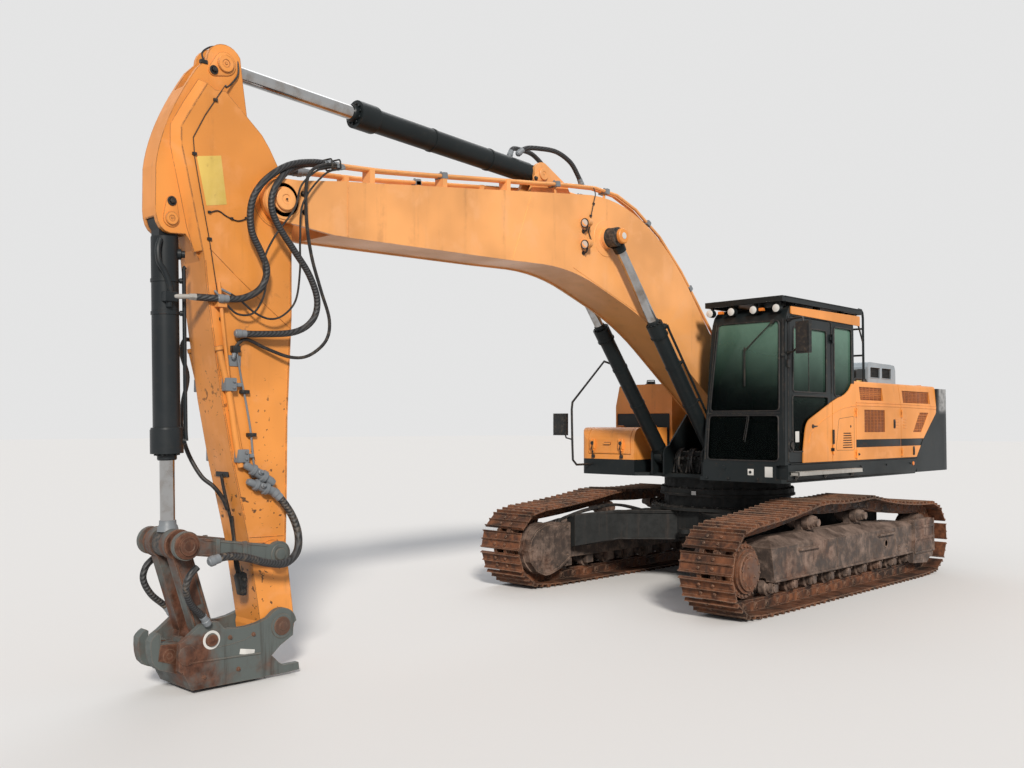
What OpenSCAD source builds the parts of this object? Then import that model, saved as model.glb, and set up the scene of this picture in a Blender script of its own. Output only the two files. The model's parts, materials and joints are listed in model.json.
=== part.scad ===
// Crawler excavator, whole and at full size, parked with its arm upright over the ground.
// Lengths are in millimetres; +X is the way it faces, +Y its left side, +Z up, ground at z = 0.

/* [Placing] */
// Slewing axis, measured from the middle of the length
slew_x = -1930; // [-2100:5:-1800]
// The machine's middle plane, measured from the middle of the width over mirrors
slew_y = -75; // [-90:5:-60]

/* [Tracks] */
// Distance between the two tracks' middles
track_gauge = 2740; // [2640:10:2840]
// Distance between the front and rear wheels' axles
wheel_base = 4340; // [4200:10:4440]
// Height of the wheels' axles
wheel_z = 470; // [460:2:480]
// Radius of the chain's pin line on the wheels
pitch_r = 366; // [356:2:372]
// Width of the shoes
shoe_w = 600; // [500:10:620]
// Shoes on each track
shoe_count = 51; // [49:1:53]
// Thickness of a shoe's plate
shoe_plate = 12; // [9:1:14]
// Height of the bars on the shoes
grouser_h = 28; // [18:1:34]
// Height of the chain's pin line over the upper rollers
top_pitch_z = 996; // [980:2:1010]
// Lower rollers on each side
roller_count = 9; // [8:1:10]
// Distance between lower rollers
roller_gap = 405; // [360:5:420]
// Radius of the lower rollers
roller_r = 88; // [80:1:92]
// Radius of the upper rollers
carrier_r = 80; // [70:1:88]
// Width of a track frame
frame_w = 460; // [420:10:480]
// Underside of the track frames
frame_bottom = 311; // [300:1:330]
// Height of a track frame's outer side
frame_side_top = 653; // [620:1:670]
// Ridge of a track frame
frame_ridge = 742; // [720:2:750]

/* [Turntable] */
// Radius of the slewing ring
ring_r = 800; // [740:5:840]
// Underside of the slewing ring
ring_z0 = 1040; // [1020:5:1060]
// Underside of the upper deck
deck_z0 = 1270; // [1250:5:1290]

/* [Upper frame] */
// Width over the side panels
upper_w = 2980; // [2900:10:3060]
// Radius of the tail
tail_r = 3640; // [3560:10:3700]
// Top of the deck under the cab
deck_top = 1460; // [1440:5:1480]
// Top of the engine housing
hood_z = 2400; // [2340:5:2460]
// Line along which the side panels fold inwards
belt_z = 2120; // [2080:5:2160]
// Top of the counterweight
weight_top = 2370; // [2300:5:2390]
// Thickness of sheet panels
sheet = 24; // [16:1:30]
// Gap round doors and lids
door_gap = 8; // [5:1:12]

/* [Cab] */
// Front of the cab at its foot
cab_front = 1245; // [1225:1:1260]
// Back of the cab
cab_back = -372; // [-380:1:-360]
// Top of the cab's roof
cab_top = 3150; // [3120:5:3180]
// Inner side of the cab at its foot
cab_in = 475; // [472:1:490]
// Thickness of the cab's posts and walls
cab_wall = 44; // [38:1:52]
// Back edge of the door
door_back = 200; // [190:1:208]
// Top of the roof guard
guard_top = 3240; // [3225:5:3260]

/* [Boom] */
// Boom foot pin, distance in front of the slewing axis
foot_x = 240; // [230:1:250]
// Boom foot pin, height
foot_z = 2070; // [2060:1:2080]
// Boom cylinder's foot pin, distance in front of the slewing axis
ram_x = 840; // [830:1:850]
// Boom cylinder's foot pin, height
ram_z = 1520; // [1512:1:1530]
// Boom cylinder's upper pin, distance in front of the slewing axis
ram_top_x = 2690; // [2680:1:2700]
// Boom cylinder's upper pin, height
ram_top_z = 3800; // [3790:1:3810]
// Arm pin, distance in front of the slewing axis
tip_x = 6565; // [6560:1:6570]
// Arm pin, height
tip_z = 3567; // [3562:1:3572]
// Width of the boom
boom_w = 504; // [490:2:506]
// Thickness of the boom's side plates
boom_plate = 22; // [14:1:28]
// Distance of each boom cylinder from the middle
ram_y = 366; // [365:0.5:367]
// Radius of a boom cylinder's barrel
ram_r = 84; // [78:1:86]
// Radius of a boom cylinder's rod
ram_rod_r = 52; // [44:1:56]

/* [Arm] */
// Width of the arm
arm_w = 340; // [320:2:350]
// Width of the arm's bracket for the cylinders
bracket_w = 200; // [190:2:220]
// Arm cylinder's rod pin, distance in front of the slewing axis
stick_x = 6978; // [6974:1:6982]
// Arm cylinder's rod pin, height
stick_z = 4537; // [4532:1:4542]
// Arm cylinder's foot pin on the boom, distance in front of the slewing axis
stick_foot_x = 3486; // [3480:1:3492]
// Arm cylinder's foot pin on the boom, height
stick_foot_z = 4352; // [4348:1:4356]
// Radius of the arm cylinder's barrel
stick_r = 100; // [90:1:106]
// Radius of the arm cylinder's rod
stick_rod_r = 58; // [48:1:62]
// Coupler pin at the arm's end, distance in front of the slewing axis
nose_x = 6521; // [6518:1:6524]
// Coupler pin at the arm's end, height
nose_z = 378; // [374:1:382]
// Rocker's pin on the arm, distance in front of the slewing axis
rock_x = 6575; // [6572:1:6578]
// Rocker's pin on the arm, height
rock_z = 920; // [916:1:924]
// Joint of rocker, link and rod, distance in front of the slewing axis
knee_x = 7315; // [7311:1:7319]
// Joint of rocker, link and rod, height
knee_z = 1038; // [1034:1:1042]
// Link's pin on the coupler, distance in front of the slewing axis
lug_x = 7095; // [7092:1:7098]
// Link's pin on the coupler, height
lug_z = 359; // [356:1:362]
// Coupler cylinder's upper pin, distance in front of the slewing axis
tilt_x = 7382; // [7379:1:7385]
// Coupler cylinder's upper pin, height
tilt_z = 3327; // [3322:1:3332]
// Radius of the coupler cylinder's barrel
tilt_r = 94; // [86:1:96]
// Radius of the coupler cylinder's rod
tilt_rod_r = 52; // [44:1:56]

/* [Coupler] */
// Width over the coupler's side plates
coupler_w = 460; // [440:2:464]
// Thickness of the coupler's side plates
coupler_plate = 46; // [34:1:50]
// Underside of the coupler
coupler_z0 = 24; // [16:1:30]

/* [Pins] */
// Radius of the boom's foot and arm pins
big_pin_r = 58; // [46:1:64]
// Radius of the cylinders' and linkage's pins
pin_r = 45; // [36:1:48]
// Gap round pins, rods and rollers
fit = 0.3; // [0.2:0.05:0.4]

/* [Hidden] */
$fn = 40;
side_y = upper_w / 2;
track_y = track_gauge / 2;
wheel_x = wheel_base / 2;
orange = [0.93, 0.52, 0.12];
charcoal = [0.13, 0.15, 0.16];
rust = [0.31, 0.22, 0.18];
mud = [0.30, 0.25, 0.23];
steel = [0.75, 0.76, 0.78];
black = [0.06, 0.06, 0.07];
rubber = [0.08, 0.08, 0.08];
glass = [0.55, 0.68, 0.66, 0.35];

// A flat shape drawn in x and z, from y0 to y1
module slab_y(y0, y1)
  translate([0, y1, 0]) rotate([90, 0, 0]) linear_extrude(y1 - y0) children();

// A flat shape drawn in y and z, from x0 to x1
module slab_x(x0, x1)
  translate([x0, 0, 0]) rotate([90, 0, 90]) linear_extrude(x1 - x0) children();

// A flat shape drawn in x and y, from z0 to z1
module slab_z(z0, z1)
  translate([0, 0, z0]) linear_extrude(z1 - z0) children();

// A box between two corners
module block(x0, x1, y0, y1, z0, z1)
  translate([x0, y0, z0]) cube([x1 - x0, y1 - y0, z1 - z0]);

// A round bar along y
module bar_y(x, z, r, y0, y1)
  translate([x, y1, z]) rotate([90, 0, 0]) cylinder(r = r, h = y1 - y0);

// The same on both sides
module both() {
  children();
  mirror([0, 1, 0]) children();
}

// A hinge with its pin along z: the fixed half, its leaves lying towards +x
module hinge_fixed(h = 100, leaf = 40, drop = 0, sink = 0.5) {
  cylinder(r = 5, h = h);
  for (z = [0, h * 0.68])
    translate([0, 0, z]) {
      cylinder(r = 9, h = h * 0.32);
      translate([0, -13 - drop - sink, 0]) cube([leaf, 6 + drop + sink, h * 0.32]);
    }
}

// The moving half of that hinge, its leaf lying towards -x
module hinge_moving(h = 100, leaf = 40, drop = 0, sink = 0.5) {
  difference() {
    translate([0, 0, h * 0.32 + fit]) {
      cylinder(r = 9, h = h * 0.36 - 2 * fit);
      translate([-leaf, -13 - drop - sink, 0])
        cube([leaf, 6 + drop + sink, h * 0.36 - 2 * fit]);
    }
    cylinder(r = 5 + fit, h = h);
  }
}

// A rounded corner between points a and b, drawn towards c
function bend(a, c, b, n = 8) = [for (i = [0:n]) let (t = i / n)
  (1 - t) * (1 - t) * a + 2 * t * (1 - t) * c + t * t * b];

// Part of a circle
function arc(x, z, r, a0, a1, n = 12) = [for (i = [0:n]) let (a = a0 + (a1 - a0) * i / n)
  [x + r * cos(a), z + r * sin(a)]];

// The angle of the line from p to q, and its length
function aim(p, q) = atan2(q[1] - p[1], q[0] - p[0]);
function span(p, q) = norm(q - p);

// A pipe of radius r through points
function unit(v) = v / norm(v);
function pipe_dir(p, i) = unit(i == 0 ? p[1] - p[0] : i == len(p) - 1 ? p[i] - p[i - 1]
  : unit(p[i + 1] - p[i]) + unit(p[i] - p[i - 1]));
function pipe_side(p, i, s) = i == 0 ? unit(s - (s * pipe_dir(p, 0)) * pipe_dir(p, 0))
  : let (q = pipe_side(p, i - 1, s), d = pipe_dir(p, i)) unit(q - (q * d) * d);
module pipe(p, r, n = 8, s = [0, 0.1, 1]) {
  rings = [for (i = [0:len(p) - 1]) let (u = pipe_side(p, i, s), v = cross(pipe_dir(p, i), u))
    for (k = [0:n - 1]) p[i] + r * (cos(k * 360 / n) * u + sin(k * 360 / n) * v)];
  sides = [for (i = [0:len(p) - 2]) for (k = [0:n - 1]) for (h = [0, 1])
    let (a = i * n + k, b = i * n + (k + 1) % n) h == 0 ? [a, b + n, b] : [a, a + n, b + n]];
  ends = [[for (k = [0:n - 1]) k], [for (k = [n - 1:-1:0]) (len(p) - 1) * n + k]];
  polyhedron(rings, concat(sides, ends));
}

// A solid between two four-cornered ends
module loft(a, b) {
  polyhedron(concat(a, b), [[0, 1, 2, 3], [7, 6, 5, 4], [0, 4, 5], [0, 5, 1], [1, 5, 6], [1, 6, 2],
    [2, 6, 7], [2, 7, 3], [3, 7, 4], [3, 4, 0]]);
}

// Tracks
ground_pitch = grouser_h + shoe_plate + 50;
rail_in = 66;
carrier_x = [720, -420];
front_low = arc(wheel_x, wheel_z, pitch_r, -88, 84, 16);
rear_top = arc(-wheel_x, wheel_z, pitch_r, 95.2, 268, 16);

// A slack length of chain between two points
function slack(a, b, s, n = 8) = [for (i = [1:n - 1]) let (t = i / n)
  (1 - t) * a + t * b - [0, 4 * s * t * (1 - t)]];

loop = concat([[wheel_x - 420, ground_pitch]], front_low,
  slack(front_low[16], [carrier_x[0], top_pitch_z], 20),
  [[carrier_x[0], top_pitch_z]], slack([carrier_x[0], top_pitch_z], [carrier_x[1], top_pitch_z], 25),
  [[carrier_x[1], top_pitch_z]], slack([carrier_x[1], top_pitch_z], rear_top[0], 40),
  rear_top, [[420 - wheel_x, ground_pitch]]);
legs = [for (i = [0:len(loop) - 1]) norm(loop[(i + 1) % len(loop)] - loop[i])];
function sum_to(i, k = 0, s = 0) = k == i ? s : sum_to(i, k + 1, s + legs[k]);
runs = [for (i = [0:len(loop)]) sum_to(i)];
link_len = runs[len(loop)] / shoe_count;
function on_loop(d) = let (i = max([for (k = [0:len(loop) - 1]) runs[k] <= d ? k : 0]),
  t = (d - runs[i]) / legs[i]) (1 - t) * loop[i] + t * loop[(i + 1) % len(loop)];
pins = [for (i = [0:shoe_count - 1]) on_loop((i + 0.5) * link_len)];

// Chain pin i, counted round and round
function pin_at(i) = pins[(i + shoe_count) % shoe_count];

// The chain's outline moved outwards by d
function chain_side(d) = [for (i = [0:shoe_count - 1]) let (
  a = unit(pin_at(i) - pin_at(i - 1)), b = unit(pin_at(i + 1) - pin_at(i)), m = unit(a + b))
  pins[i] + d / (m * a) * [m[1], -m[0]]];
chain_out = chain_side(50 - fit);
chain_in = chain_side(-rail_in);

// Height of the chain's running surface over x
function rail_z(x) = max([for (i = [0:shoe_count - 1]) let (a = pin_at(i), b = pin_at(i + 1))
  (a[0] - x) * (b[0] - x) <= 0 && abs(a[0] - b[0]) > 1
  ? a[1] + (b[1] - a[1]) * (x - a[0]) / (b[0] - a[0]) - rail_in : 0]);

// A shoe with its three bars, seen from the side
module shoe(l) {
  h = l / 2 - 3;
  low = 50 + shoe_plate;
  polygon([[-h, 50], [h, 50], [h - 6, low + grouser_h], [h - 26, low], [12, low],
    [0, low + grouser_h], [-12, low], [26 - h, low], [6 - h, low + grouser_h]]);
}

module track(y) {
  color(rust) {
    for (i = [0:shoe_count - 1]) {
      a = pin_at(i);
      b = pin_at(i + 1);
      slab_y(y - shoe_w / 2, y + shoe_w / 2)
        translate((a + b) / 2) rotate(aim(a, b) + 180) mirror([1, 0]) shoe(norm(b - a));
    }
    for (s = [-1, 1])
      slab_y(y + s * 77.5 - 22.5, y + s * 77.5 + 22.5)
        difference() {
          polygon(chain_out);
          polygon(chain_in);
        }
  }
}
module track_left() track(track_y);
module track_right() track(-track_y);

// Rollers and wheels
module roller(x, y, z, r) {
  bar_y(x, z, r, y - 112, y - 44);
  bar_y(x, z, r, y + 44, y + 112);
  bar_y(x, z, r * 0.72, y - 150, y + 150);
}
roller_z = ground_pitch + rail_in + roller_r + fit;

module rollers(y) {
  color(mud) {
    for (i = [0:roller_count - 1])
      roller((i - (roller_count - 1) / 2) * roller_gap, y, roller_z, roller_r);
    for (x = carrier_x) {
      z = rail_z(x) - carrier_r - fit;
      roller(x, y, z, carrier_r);
      bar_y(x, z, 40, y - 150, y + 210);
      block(x - 60, x + 60, y - 40, y + 40, frame_ridge, z);
    }
  }
}
module rollers_left() rollers(track_y);
module rollers_right() mirror([0, 1, 0]) rollers(track_y);

wheel_r = sqrt(pitch_r * pitch_r - link_len * link_len / 4) - rail_in - 3;
module final_drive() {
  teeth = 21;
  color(mud) {
    slab_y(track_y - 36, track_y + 36)
      translate([wheel_x, wheel_z])
        for (i = [0:teeth - 1])
          rotate(i * 360 / teeth)
            polygon([[200, -44], [wheel_r - 20, -30], [pitch_r - 6, -15], [pitch_r - 6, 15],
              [wheel_r - 20, 30], [200, 44]]);
    bar_y(wheel_x, wheel_z, wheel_r - 30, track_y - 40, track_y + 40);
    bar_y(wheel_x, wheel_z, 235, track_y - 130, track_y + 120);
    bar_y(wheel_x, wheel_z, 262, track_y + 120, track_y + 170);
    bar_y(wheel_x, wheel_z, 215, track_y + 170, track_y + 205);
    bar_y(wheel_x, wheel_z, 186, track_y + 205, track_y + 232);
  }
}
module final_drive_left() final_drive();
module final_drive_right() mirror([0, 1, 0]) final_drive();

module idler() {
  color(mud) {
    bar_y(-wheel_x, wheel_z, wheel_r, track_y - 112, track_y - 50);
    bar_y(-wheel_x, wheel_z, wheel_r, track_y + 50, track_y + 112);
    bar_y(-wheel_x, wheel_z, wheel_r + 26, track_y - 50, track_y + 50);
    bar_y(-wheel_x, wheel_z, 90, track_y - 152 + fit, track_y + 152 - fit);
  }
}
module idler_left() idler();
module idler_right() mirror([0, 1, 0]) idler();

// Track frames
frame_in = track_y - frame_w / 2;
frame_out = track_y + frame_w / 2;
frame_back = -wheel_x + 500;
frame_front = wheel_x - 410;

module frame_section() {
  polygon([[frame_in, frame_bottom], [frame_out, frame_bottom], [frame_out, frame_side_top],
    [track_y + 60, frame_ridge], [track_y - 60, frame_ridge], [frame_in, frame_side_top]]);
}

module track_frame() {
  color(mud) {
    difference() {
      intersection() {
        slab_x(frame_back, frame_front) frame_section();
        slab_y(frame_in - 1, frame_out + 1)
          polygon([[frame_back, 300], [frame_front - 66, 300], [frame_front, frame_side_top],
            [frame_front - 240, frame_ridge + 1], [carrier_x[1] - 70, frame_ridge + 1],
            [frame_back, 690]]);
      }
      bar_y(-905, 488, 34, frame_out - 60, frame_out + 1);
      // Channel over the lower rollers
      block(frame_back - 1, frame_front + 1, track_y - 132, track_y + 132, 290,
        roller_z + roller_r + 12);
    }
    // Arms that hold the idler
    for (s = [-1, 1])
      block(-wheel_x - 130, frame_back + 1, track_y + s * 180 - 28, track_y + s * 180 + 28, 400, 540);
    for (s = [-1, 1])
      bar_y(-wheel_x, wheel_z, 120, track_y + s * 180 - 28, track_y + s * 180 + 28);
    // Guard beside the idler
    slab_y(frame_out - 42, frame_out + 14)
      polygon([[frame_back + 8, 182], [-2080, 153], [-2290, 300], [-2314, 470], [-2290, 640],
        [-2230, 709], [frame_back + 8, 709]]);
    // Plate that carries the final drive
    slab_y(track_y - 200, track_y - 130 - fit)
      polygon(concat([[frame_front - 100, frame_bottom]],
        arc(wheel_x - 40, wheel_z - 20, 295, -80, 100, 14), [[frame_front - 100, frame_ridge - 40]]));
    block(frame_front - 101, frame_front + 60, frame_in, track_y - 130 - fit, frame_bottom, 700);
    // Guard round the travel motor
    slab_y(frame_in - 60, track_y - 199)
      polygon([[frame_front - 64, 307], [1880, 200], [2040, 152], [2134, 146], [2280, 205],
        [2385, 320], [2424, 450], [2392, 575], [2290, 680], [2160, 735], [2002, 750],
        [frame_front - 64, 729]]);
    // Roller feet
    for (i = [0:roller_count - 1])
      for (s = [-1, 1])
        block((i - (roller_count - 1) / 2) * roller_gap - 60,
          (i - (roller_count - 1) / 2) * roller_gap + 60,
          track_y + s * 171 - 20.7, track_y + s * 171 + 20.7, roller_z - 40, frame_bottom + 1);
    // Small brackets on the outer side
    for (x = [1010, -880])
      block(x - 210, x + 210, frame_out - 1, frame_out + 45, frame_side_top - 62, frame_side_top - 40);
  }
}
module track_frame_left() track_frame();
module track_frame_right() mirror([0, 1, 0]) track_frame();

// Body between the tracks
// One leg's cross section at distance y from the middle: x0 to x1, z0 to z1
function leg_end(x0, x1, y, z0, z1) = [[x0, y, z0], [x1, y, z0], [x1, y, z1], [x0, y, z1]];
tow_x = 890;
tow_r = 34;

module carbody() {
  color(charcoal) {
    difference() {
      slab_z(560, 900)
        polygon([[-820, -560], [820, -560], [820, 560], [-820, 560]]);
      // Openings under the ring for the lines to the tracks
      for (s = [-1, 1])
        block(-330, 330, s > 0 ? 470 : -570, s > 0 ? 570 : -470, 640, 800);
    }
    translate([0, 0, 880]) cylinder(r = 920, h = 34);
    translate([0, 0, 900]) cylinder(r = 760, h = ring_z0 - 900);
    both()
      for (s = [0, 1])
        mirror([s, 0, 0]) {
          loft(leg_end(1180, 1688, frame_in, 425, 798), leg_end(1060, 1688, 1019, 455, 815));
          loft(leg_end(1060, 1688, 1020, 455, 815), leg_end(740, 1260, 699, 534, 860));
          loft(leg_end(740, 1260, 700, 534, 860), leg_end(320, 800, 150, 534, 860));
          // Flange along the leg's top
          loft(leg_end(1150, 1692, frame_in, 780, 802), leg_end(1036, 1692, 1049, 792, 814));
          loft(leg_end(1036, 1692, 1050, 792, 814), leg_end(712, 1290, 699, 842, 864));
          loft(leg_end(712, 1290, 700, 842, 864), leg_end(300, 830, 150, 842, 864));
        }
    // Towing plates at front and rear
    for (s = [0, 1])
      mirror([s, 0, 0])
        slab_z(620, 670)
          difference() {
            union() {
              translate([tow_x, 0]) circle(r = 78);
              translate([810, -78]) square([tow_x - 810, 156]);
            }
            translate([tow_x, 0]) circle(r = tow_r);
          }
  }
}

module swing_ring() {
  color(charcoal) {
    difference() {
      union() {
        translate([0, 0, ring_z0]) cylinder(r = ring_r, h = 90);
        translate([0, 0, ring_z0 + 90]) cylinder(r = ring_r - 40, h = deck_z0 - ring_z0 - 90 - 20 - fit);
      }
      translate([0, 0, ring_z0 - 1]) cylinder(r = ring_r - 150, h = 300);
    }
  }
}

// Upper frame
well_in = -600;
side_in = cab_in - 5;
weight_x = -2106;
module deck_shape() {
  polygon([[weight_x, -side_y + 20], [900, -side_y + 20], [box_front, -side_y + 140], [box_front, -640],
    [900, -500], [900, 400], [cab_front, 430], [cab_front, side_y - 60], [cab_front - 40, side_y - 20],
    [weight_x, side_y - 20]]);
}

// The toolbox and its plinth seen from above
box_front = 1020;
box_back = 340;
module box_plan() {
  polygon(concat([[box_back, -side_y]], bend([box_front - 110, -side_y], [box_front, -side_y],
    [box_front, 110 - side_y], 5), [[box_front, -650], [box_back, -650]]));
}

// Inner face of the plates at the boom's foot
foot_in = boom_w / 2 + 5;

// Round skirt along the left side
module skirt_shape() {
  polygon(concat([[side_y - 130, deck_z0], [side_y - 70, deck_z0]],
    bend([side_y - 60, deck_z0], [side_y, deck_z0], [side_y, 1345], 5),
    [[side_y, deck_top], [side_y - 130, deck_top]]));
}

module upper_frame() {
  color(charcoal) {
    translate([0, 0, deck_z0 - 20]) cylinder(r = ring_r + 16, h = 30);
    slab_z(deck_z0, deck_z0 + 40) deck_shape();
    // Block under the cab
    block(cab_back, cab_front, cab_in - 8, side_y - 120, deck_z0 + 30, deck_top);
    slab_x(weight_x, cab_front - 40) skirt_shape();
    mirror([0, 1, 0]) slab_x(weight_x, box_front - 110) skirt_shape();
    // Plinth under the toolbox
    slab_z(deck_z0, deck_top) box_plan();
    // Plates that hold the boom and its cylinders
    both() {
      difference() {
        union() {
          slab_y(foot_in, foot_in + 20)
            union() {
              polygon([[-700, deck_z0 + 30], [-700, 1500], [foot_x - 190, foot_z + 20],
                [foot_x + 190, foot_z - 20], [ram_x + 20, ram_z + 110], [ram_x + 115, ram_z],
                [ram_x + 115, deck_z0 + 30]]);
              translate([foot_x, foot_z]) circle(r = 190);
              translate([ram_x, ram_z]) circle(r = 118);
            }
          bar_y(foot_x, foot_z, 150, foot_in + 10, foot_in + 60);
        }
        bar_y(foot_x, foot_z, big_pin_r - 1, foot_in - 1, foot_in + 90);
        bar_y(ram_x, ram_z, pin_r - 1, foot_in - 1, foot_in + 90);
      }
      difference() {
        slab_y(ram_y + 60, ram_y + 84)
          union() {
            translate([ram_x, ram_z]) circle(r = 112);
            polygon([[ram_x - 112, deck_z0 + 30], [ram_x + 112, deck_z0 + 30], [ram_x + 112, ram_z],
              [ram_x - 112, ram_z]]);
          }
        bar_y(ram_x, ram_z, pin_r - 1, 400, 470);
      }
    }
    // Pin through the boom's foot
    bar_y(foot_x, foot_z, big_pin_r, -foot_in - 72, foot_in + 72);
    both() bar_y(ram_x, ram_z, pin_r, foot_in + 1, ram_y + 92);
    // Cross wall behind the boom
    block(-470, -440, well_in + fit, cab_in - 10, deck_z0 + 30, hood_z - 60);
  }
}

// Step along the left side, a folded plate
module side_step() {
  color(steel)
    slab_x(-335, 1162)
      polygon([[side_y, 1346], [side_y + 8, 1346], [side_y + 8, 1381], [side_y + 92, 1381],
        [side_y + 92, 1350], [side_y + 100, 1350], [side_y + 100, 1390], [side_y, 1390]]);
}

module plan_tail() {
  intersection() {
    offset(r = 420) offset(delta = -420)
      intersection() {
        translate([0, 0]) circle(r = tail_r, $fn = 120);
        translate([-4400, -side_y]) square([4000, upper_w]);
      }
    translate([-4000, -side_y]) square([4000 + weight_x, upper_w]);
  }
}

weight_front = [[weight_x, deck_top + 10], [-2335, 1707], [-2768, 2046], [-2810, 2390]];
module weight_side() {
  polygon(concat(weight_front, [[-2830, 2390], [-4000, 2390], [-4000, 1250], [weight_x, 1250]]));
}

module counterweight() {
  color(charcoal) {
    intersection() {
      slab_z(1285, weight_top) plan_tail();
      slab_y(-side_y, side_y) weight_side();
    }
  }
}

module engine() {
  color(charcoal) block(-2060, -900, -420, 520, deck_z0 + 40, 2150);
}

// Side panels
// Outline of the left panels' lower band
front_seam = -390;
mid_seam = -1640;
hinge_y = side_y + 13;
hinge_zs = [1500, 1980];
function back_edge(z) = z < 1707 ? -2106 - (z - 1470) * 229 / 237
  : z < 2046 ? -2335 - (z - 1707) * 433 / 339 : -2768 - (z - 2046) * 42 / 344;
function weight_z(x) = 1707 - (x + 2335) * 339 / 433;

// Cross section of a panel: upright to the belt, then leaning in
module panel_section(z0, z1) {
  polygon(concat([[side_y, z0], [side_y, belt_z]], bend([side_y - (z1 - 30 - belt_z) * 0.12, z1 - 30],
    [side_y - (z1 - belt_z) * 0.13, z1], [side_y - 70, z1], 4),
    [[side_y - 70 , z1 - sheet], [side_y - sheet - 12 - (z1 - 40 - belt_z) * 0.12, z1 - 40],
    [side_y - sheet, belt_z], [side_y - sheet, z0]]));
}

module slots(x0, x1, z0, z1, n) {
  pitch = (z1 - z0) / n;
  for (i = [0:n - 1])
    translate([0, 0, z0 + (i + 0.5) * pitch])
      block(x0, x1, side_y - 80, side_y + 20, -pitch * 0.28, pitch * 0.28);
}

module panel_slats(x0, x1, z0, z1) {
  block(x0, x1, side_y - 80, side_y + 20, z0, z1);
}

module panel(x0, x1, z0 = 1480, z1 = hood_z) {
  slab_x(x0, x1) panel_section(z0, z1);
}

module grille(x0, x1, z0, z1, y, n = 4) {
  for (i = [1:n - 1])
    block(x0 + (x1 - x0) * i / n - 5, x0 + (x1 - x0) * i / n + 5, y - 14, y - 4, z0, z1);
  for (i = [1:n])
    block(x0, x1, y - 14, y - 4, z0 + (z1 - z0) * i / (n + 1) - 5, z0 + (z1 - z0) * i / (n + 1) + 5);
}

module side_door_front() {
  color(orange) {
    difference() {
      panel(mid_seam + door_gap / 2, front_seam - door_gap / 2);
      panel_slats(-1148, -525, 2177, 2333);
      panel_slats(-1170, -609, 1800, 2065);
      block(mid_seam - 10, front_seam + 10, side_y - 6, side_y + 10, 1624, 1716);
    }
    grille(-1170, -609, 1800, 2065, side_y - 2, 6);
    translate([0, -28, 0]) grille(-1148, -525, 2177, 2333, side_y - 2, 6);
    for (z = hinge_zs)
      translate([front_seam + door_gap / 2, hinge_y, z]) hinge_moving();
  }
}

module side_door_rear() {
  color(orange) {
    difference() {
      intersection() {
        panel(-2800, mid_seam - door_gap / 2);
        slab_y(side_y - 400, side_y + 10)
          polygon([[mid_seam, 1480], [back_edge(1480) + door_gap, 1480],
            [back_edge(1707) + door_gap, 1707], [back_edge(2046) + door_gap, 2046],
            [back_edge(hood_z) + door_gap, hood_z], [mid_seam, hood_z]]);
      }
      panel_slats(-2579, -1726, 2165, 2317);
      slab_y(side_y - 80, side_y + 20)
        polygon([[-2510, 2048], [-2218, 2048], [-2009, 1797], [-2264, 1797]]);
      block(-2335, mid_seam + 10, side_y - 6, side_y + 10, 1624, 1716);
    }
    translate([0, -28, 0]) grille(-2579, -1726, 2165, 2317, side_y - 2, 7);
    for (z = hinge_zs)
      translate([mid_seam - 10, hinge_y, z]) hinge_moving();
    intersection() {
      grille(-2530, -2009, 1797, 2048, side_y - 2, 7);
      slab_y(side_y - 80, side_y + 20)
        polygon([[-2520, 2058], [-2208, 2058], [-1999, 1787], [-2274, 1787]]);
    }
  }
}

// Outline of the sweep over the cab's lower side
sweep = concat([[880, 1480], [872, 1600]], bend([830, 1800], [800, 1925], [700, 1955], 5),
  [[216, 2139]], bend([40, 2195], [-200, 2235], [-290, hood_z - 40], 6));

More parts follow.
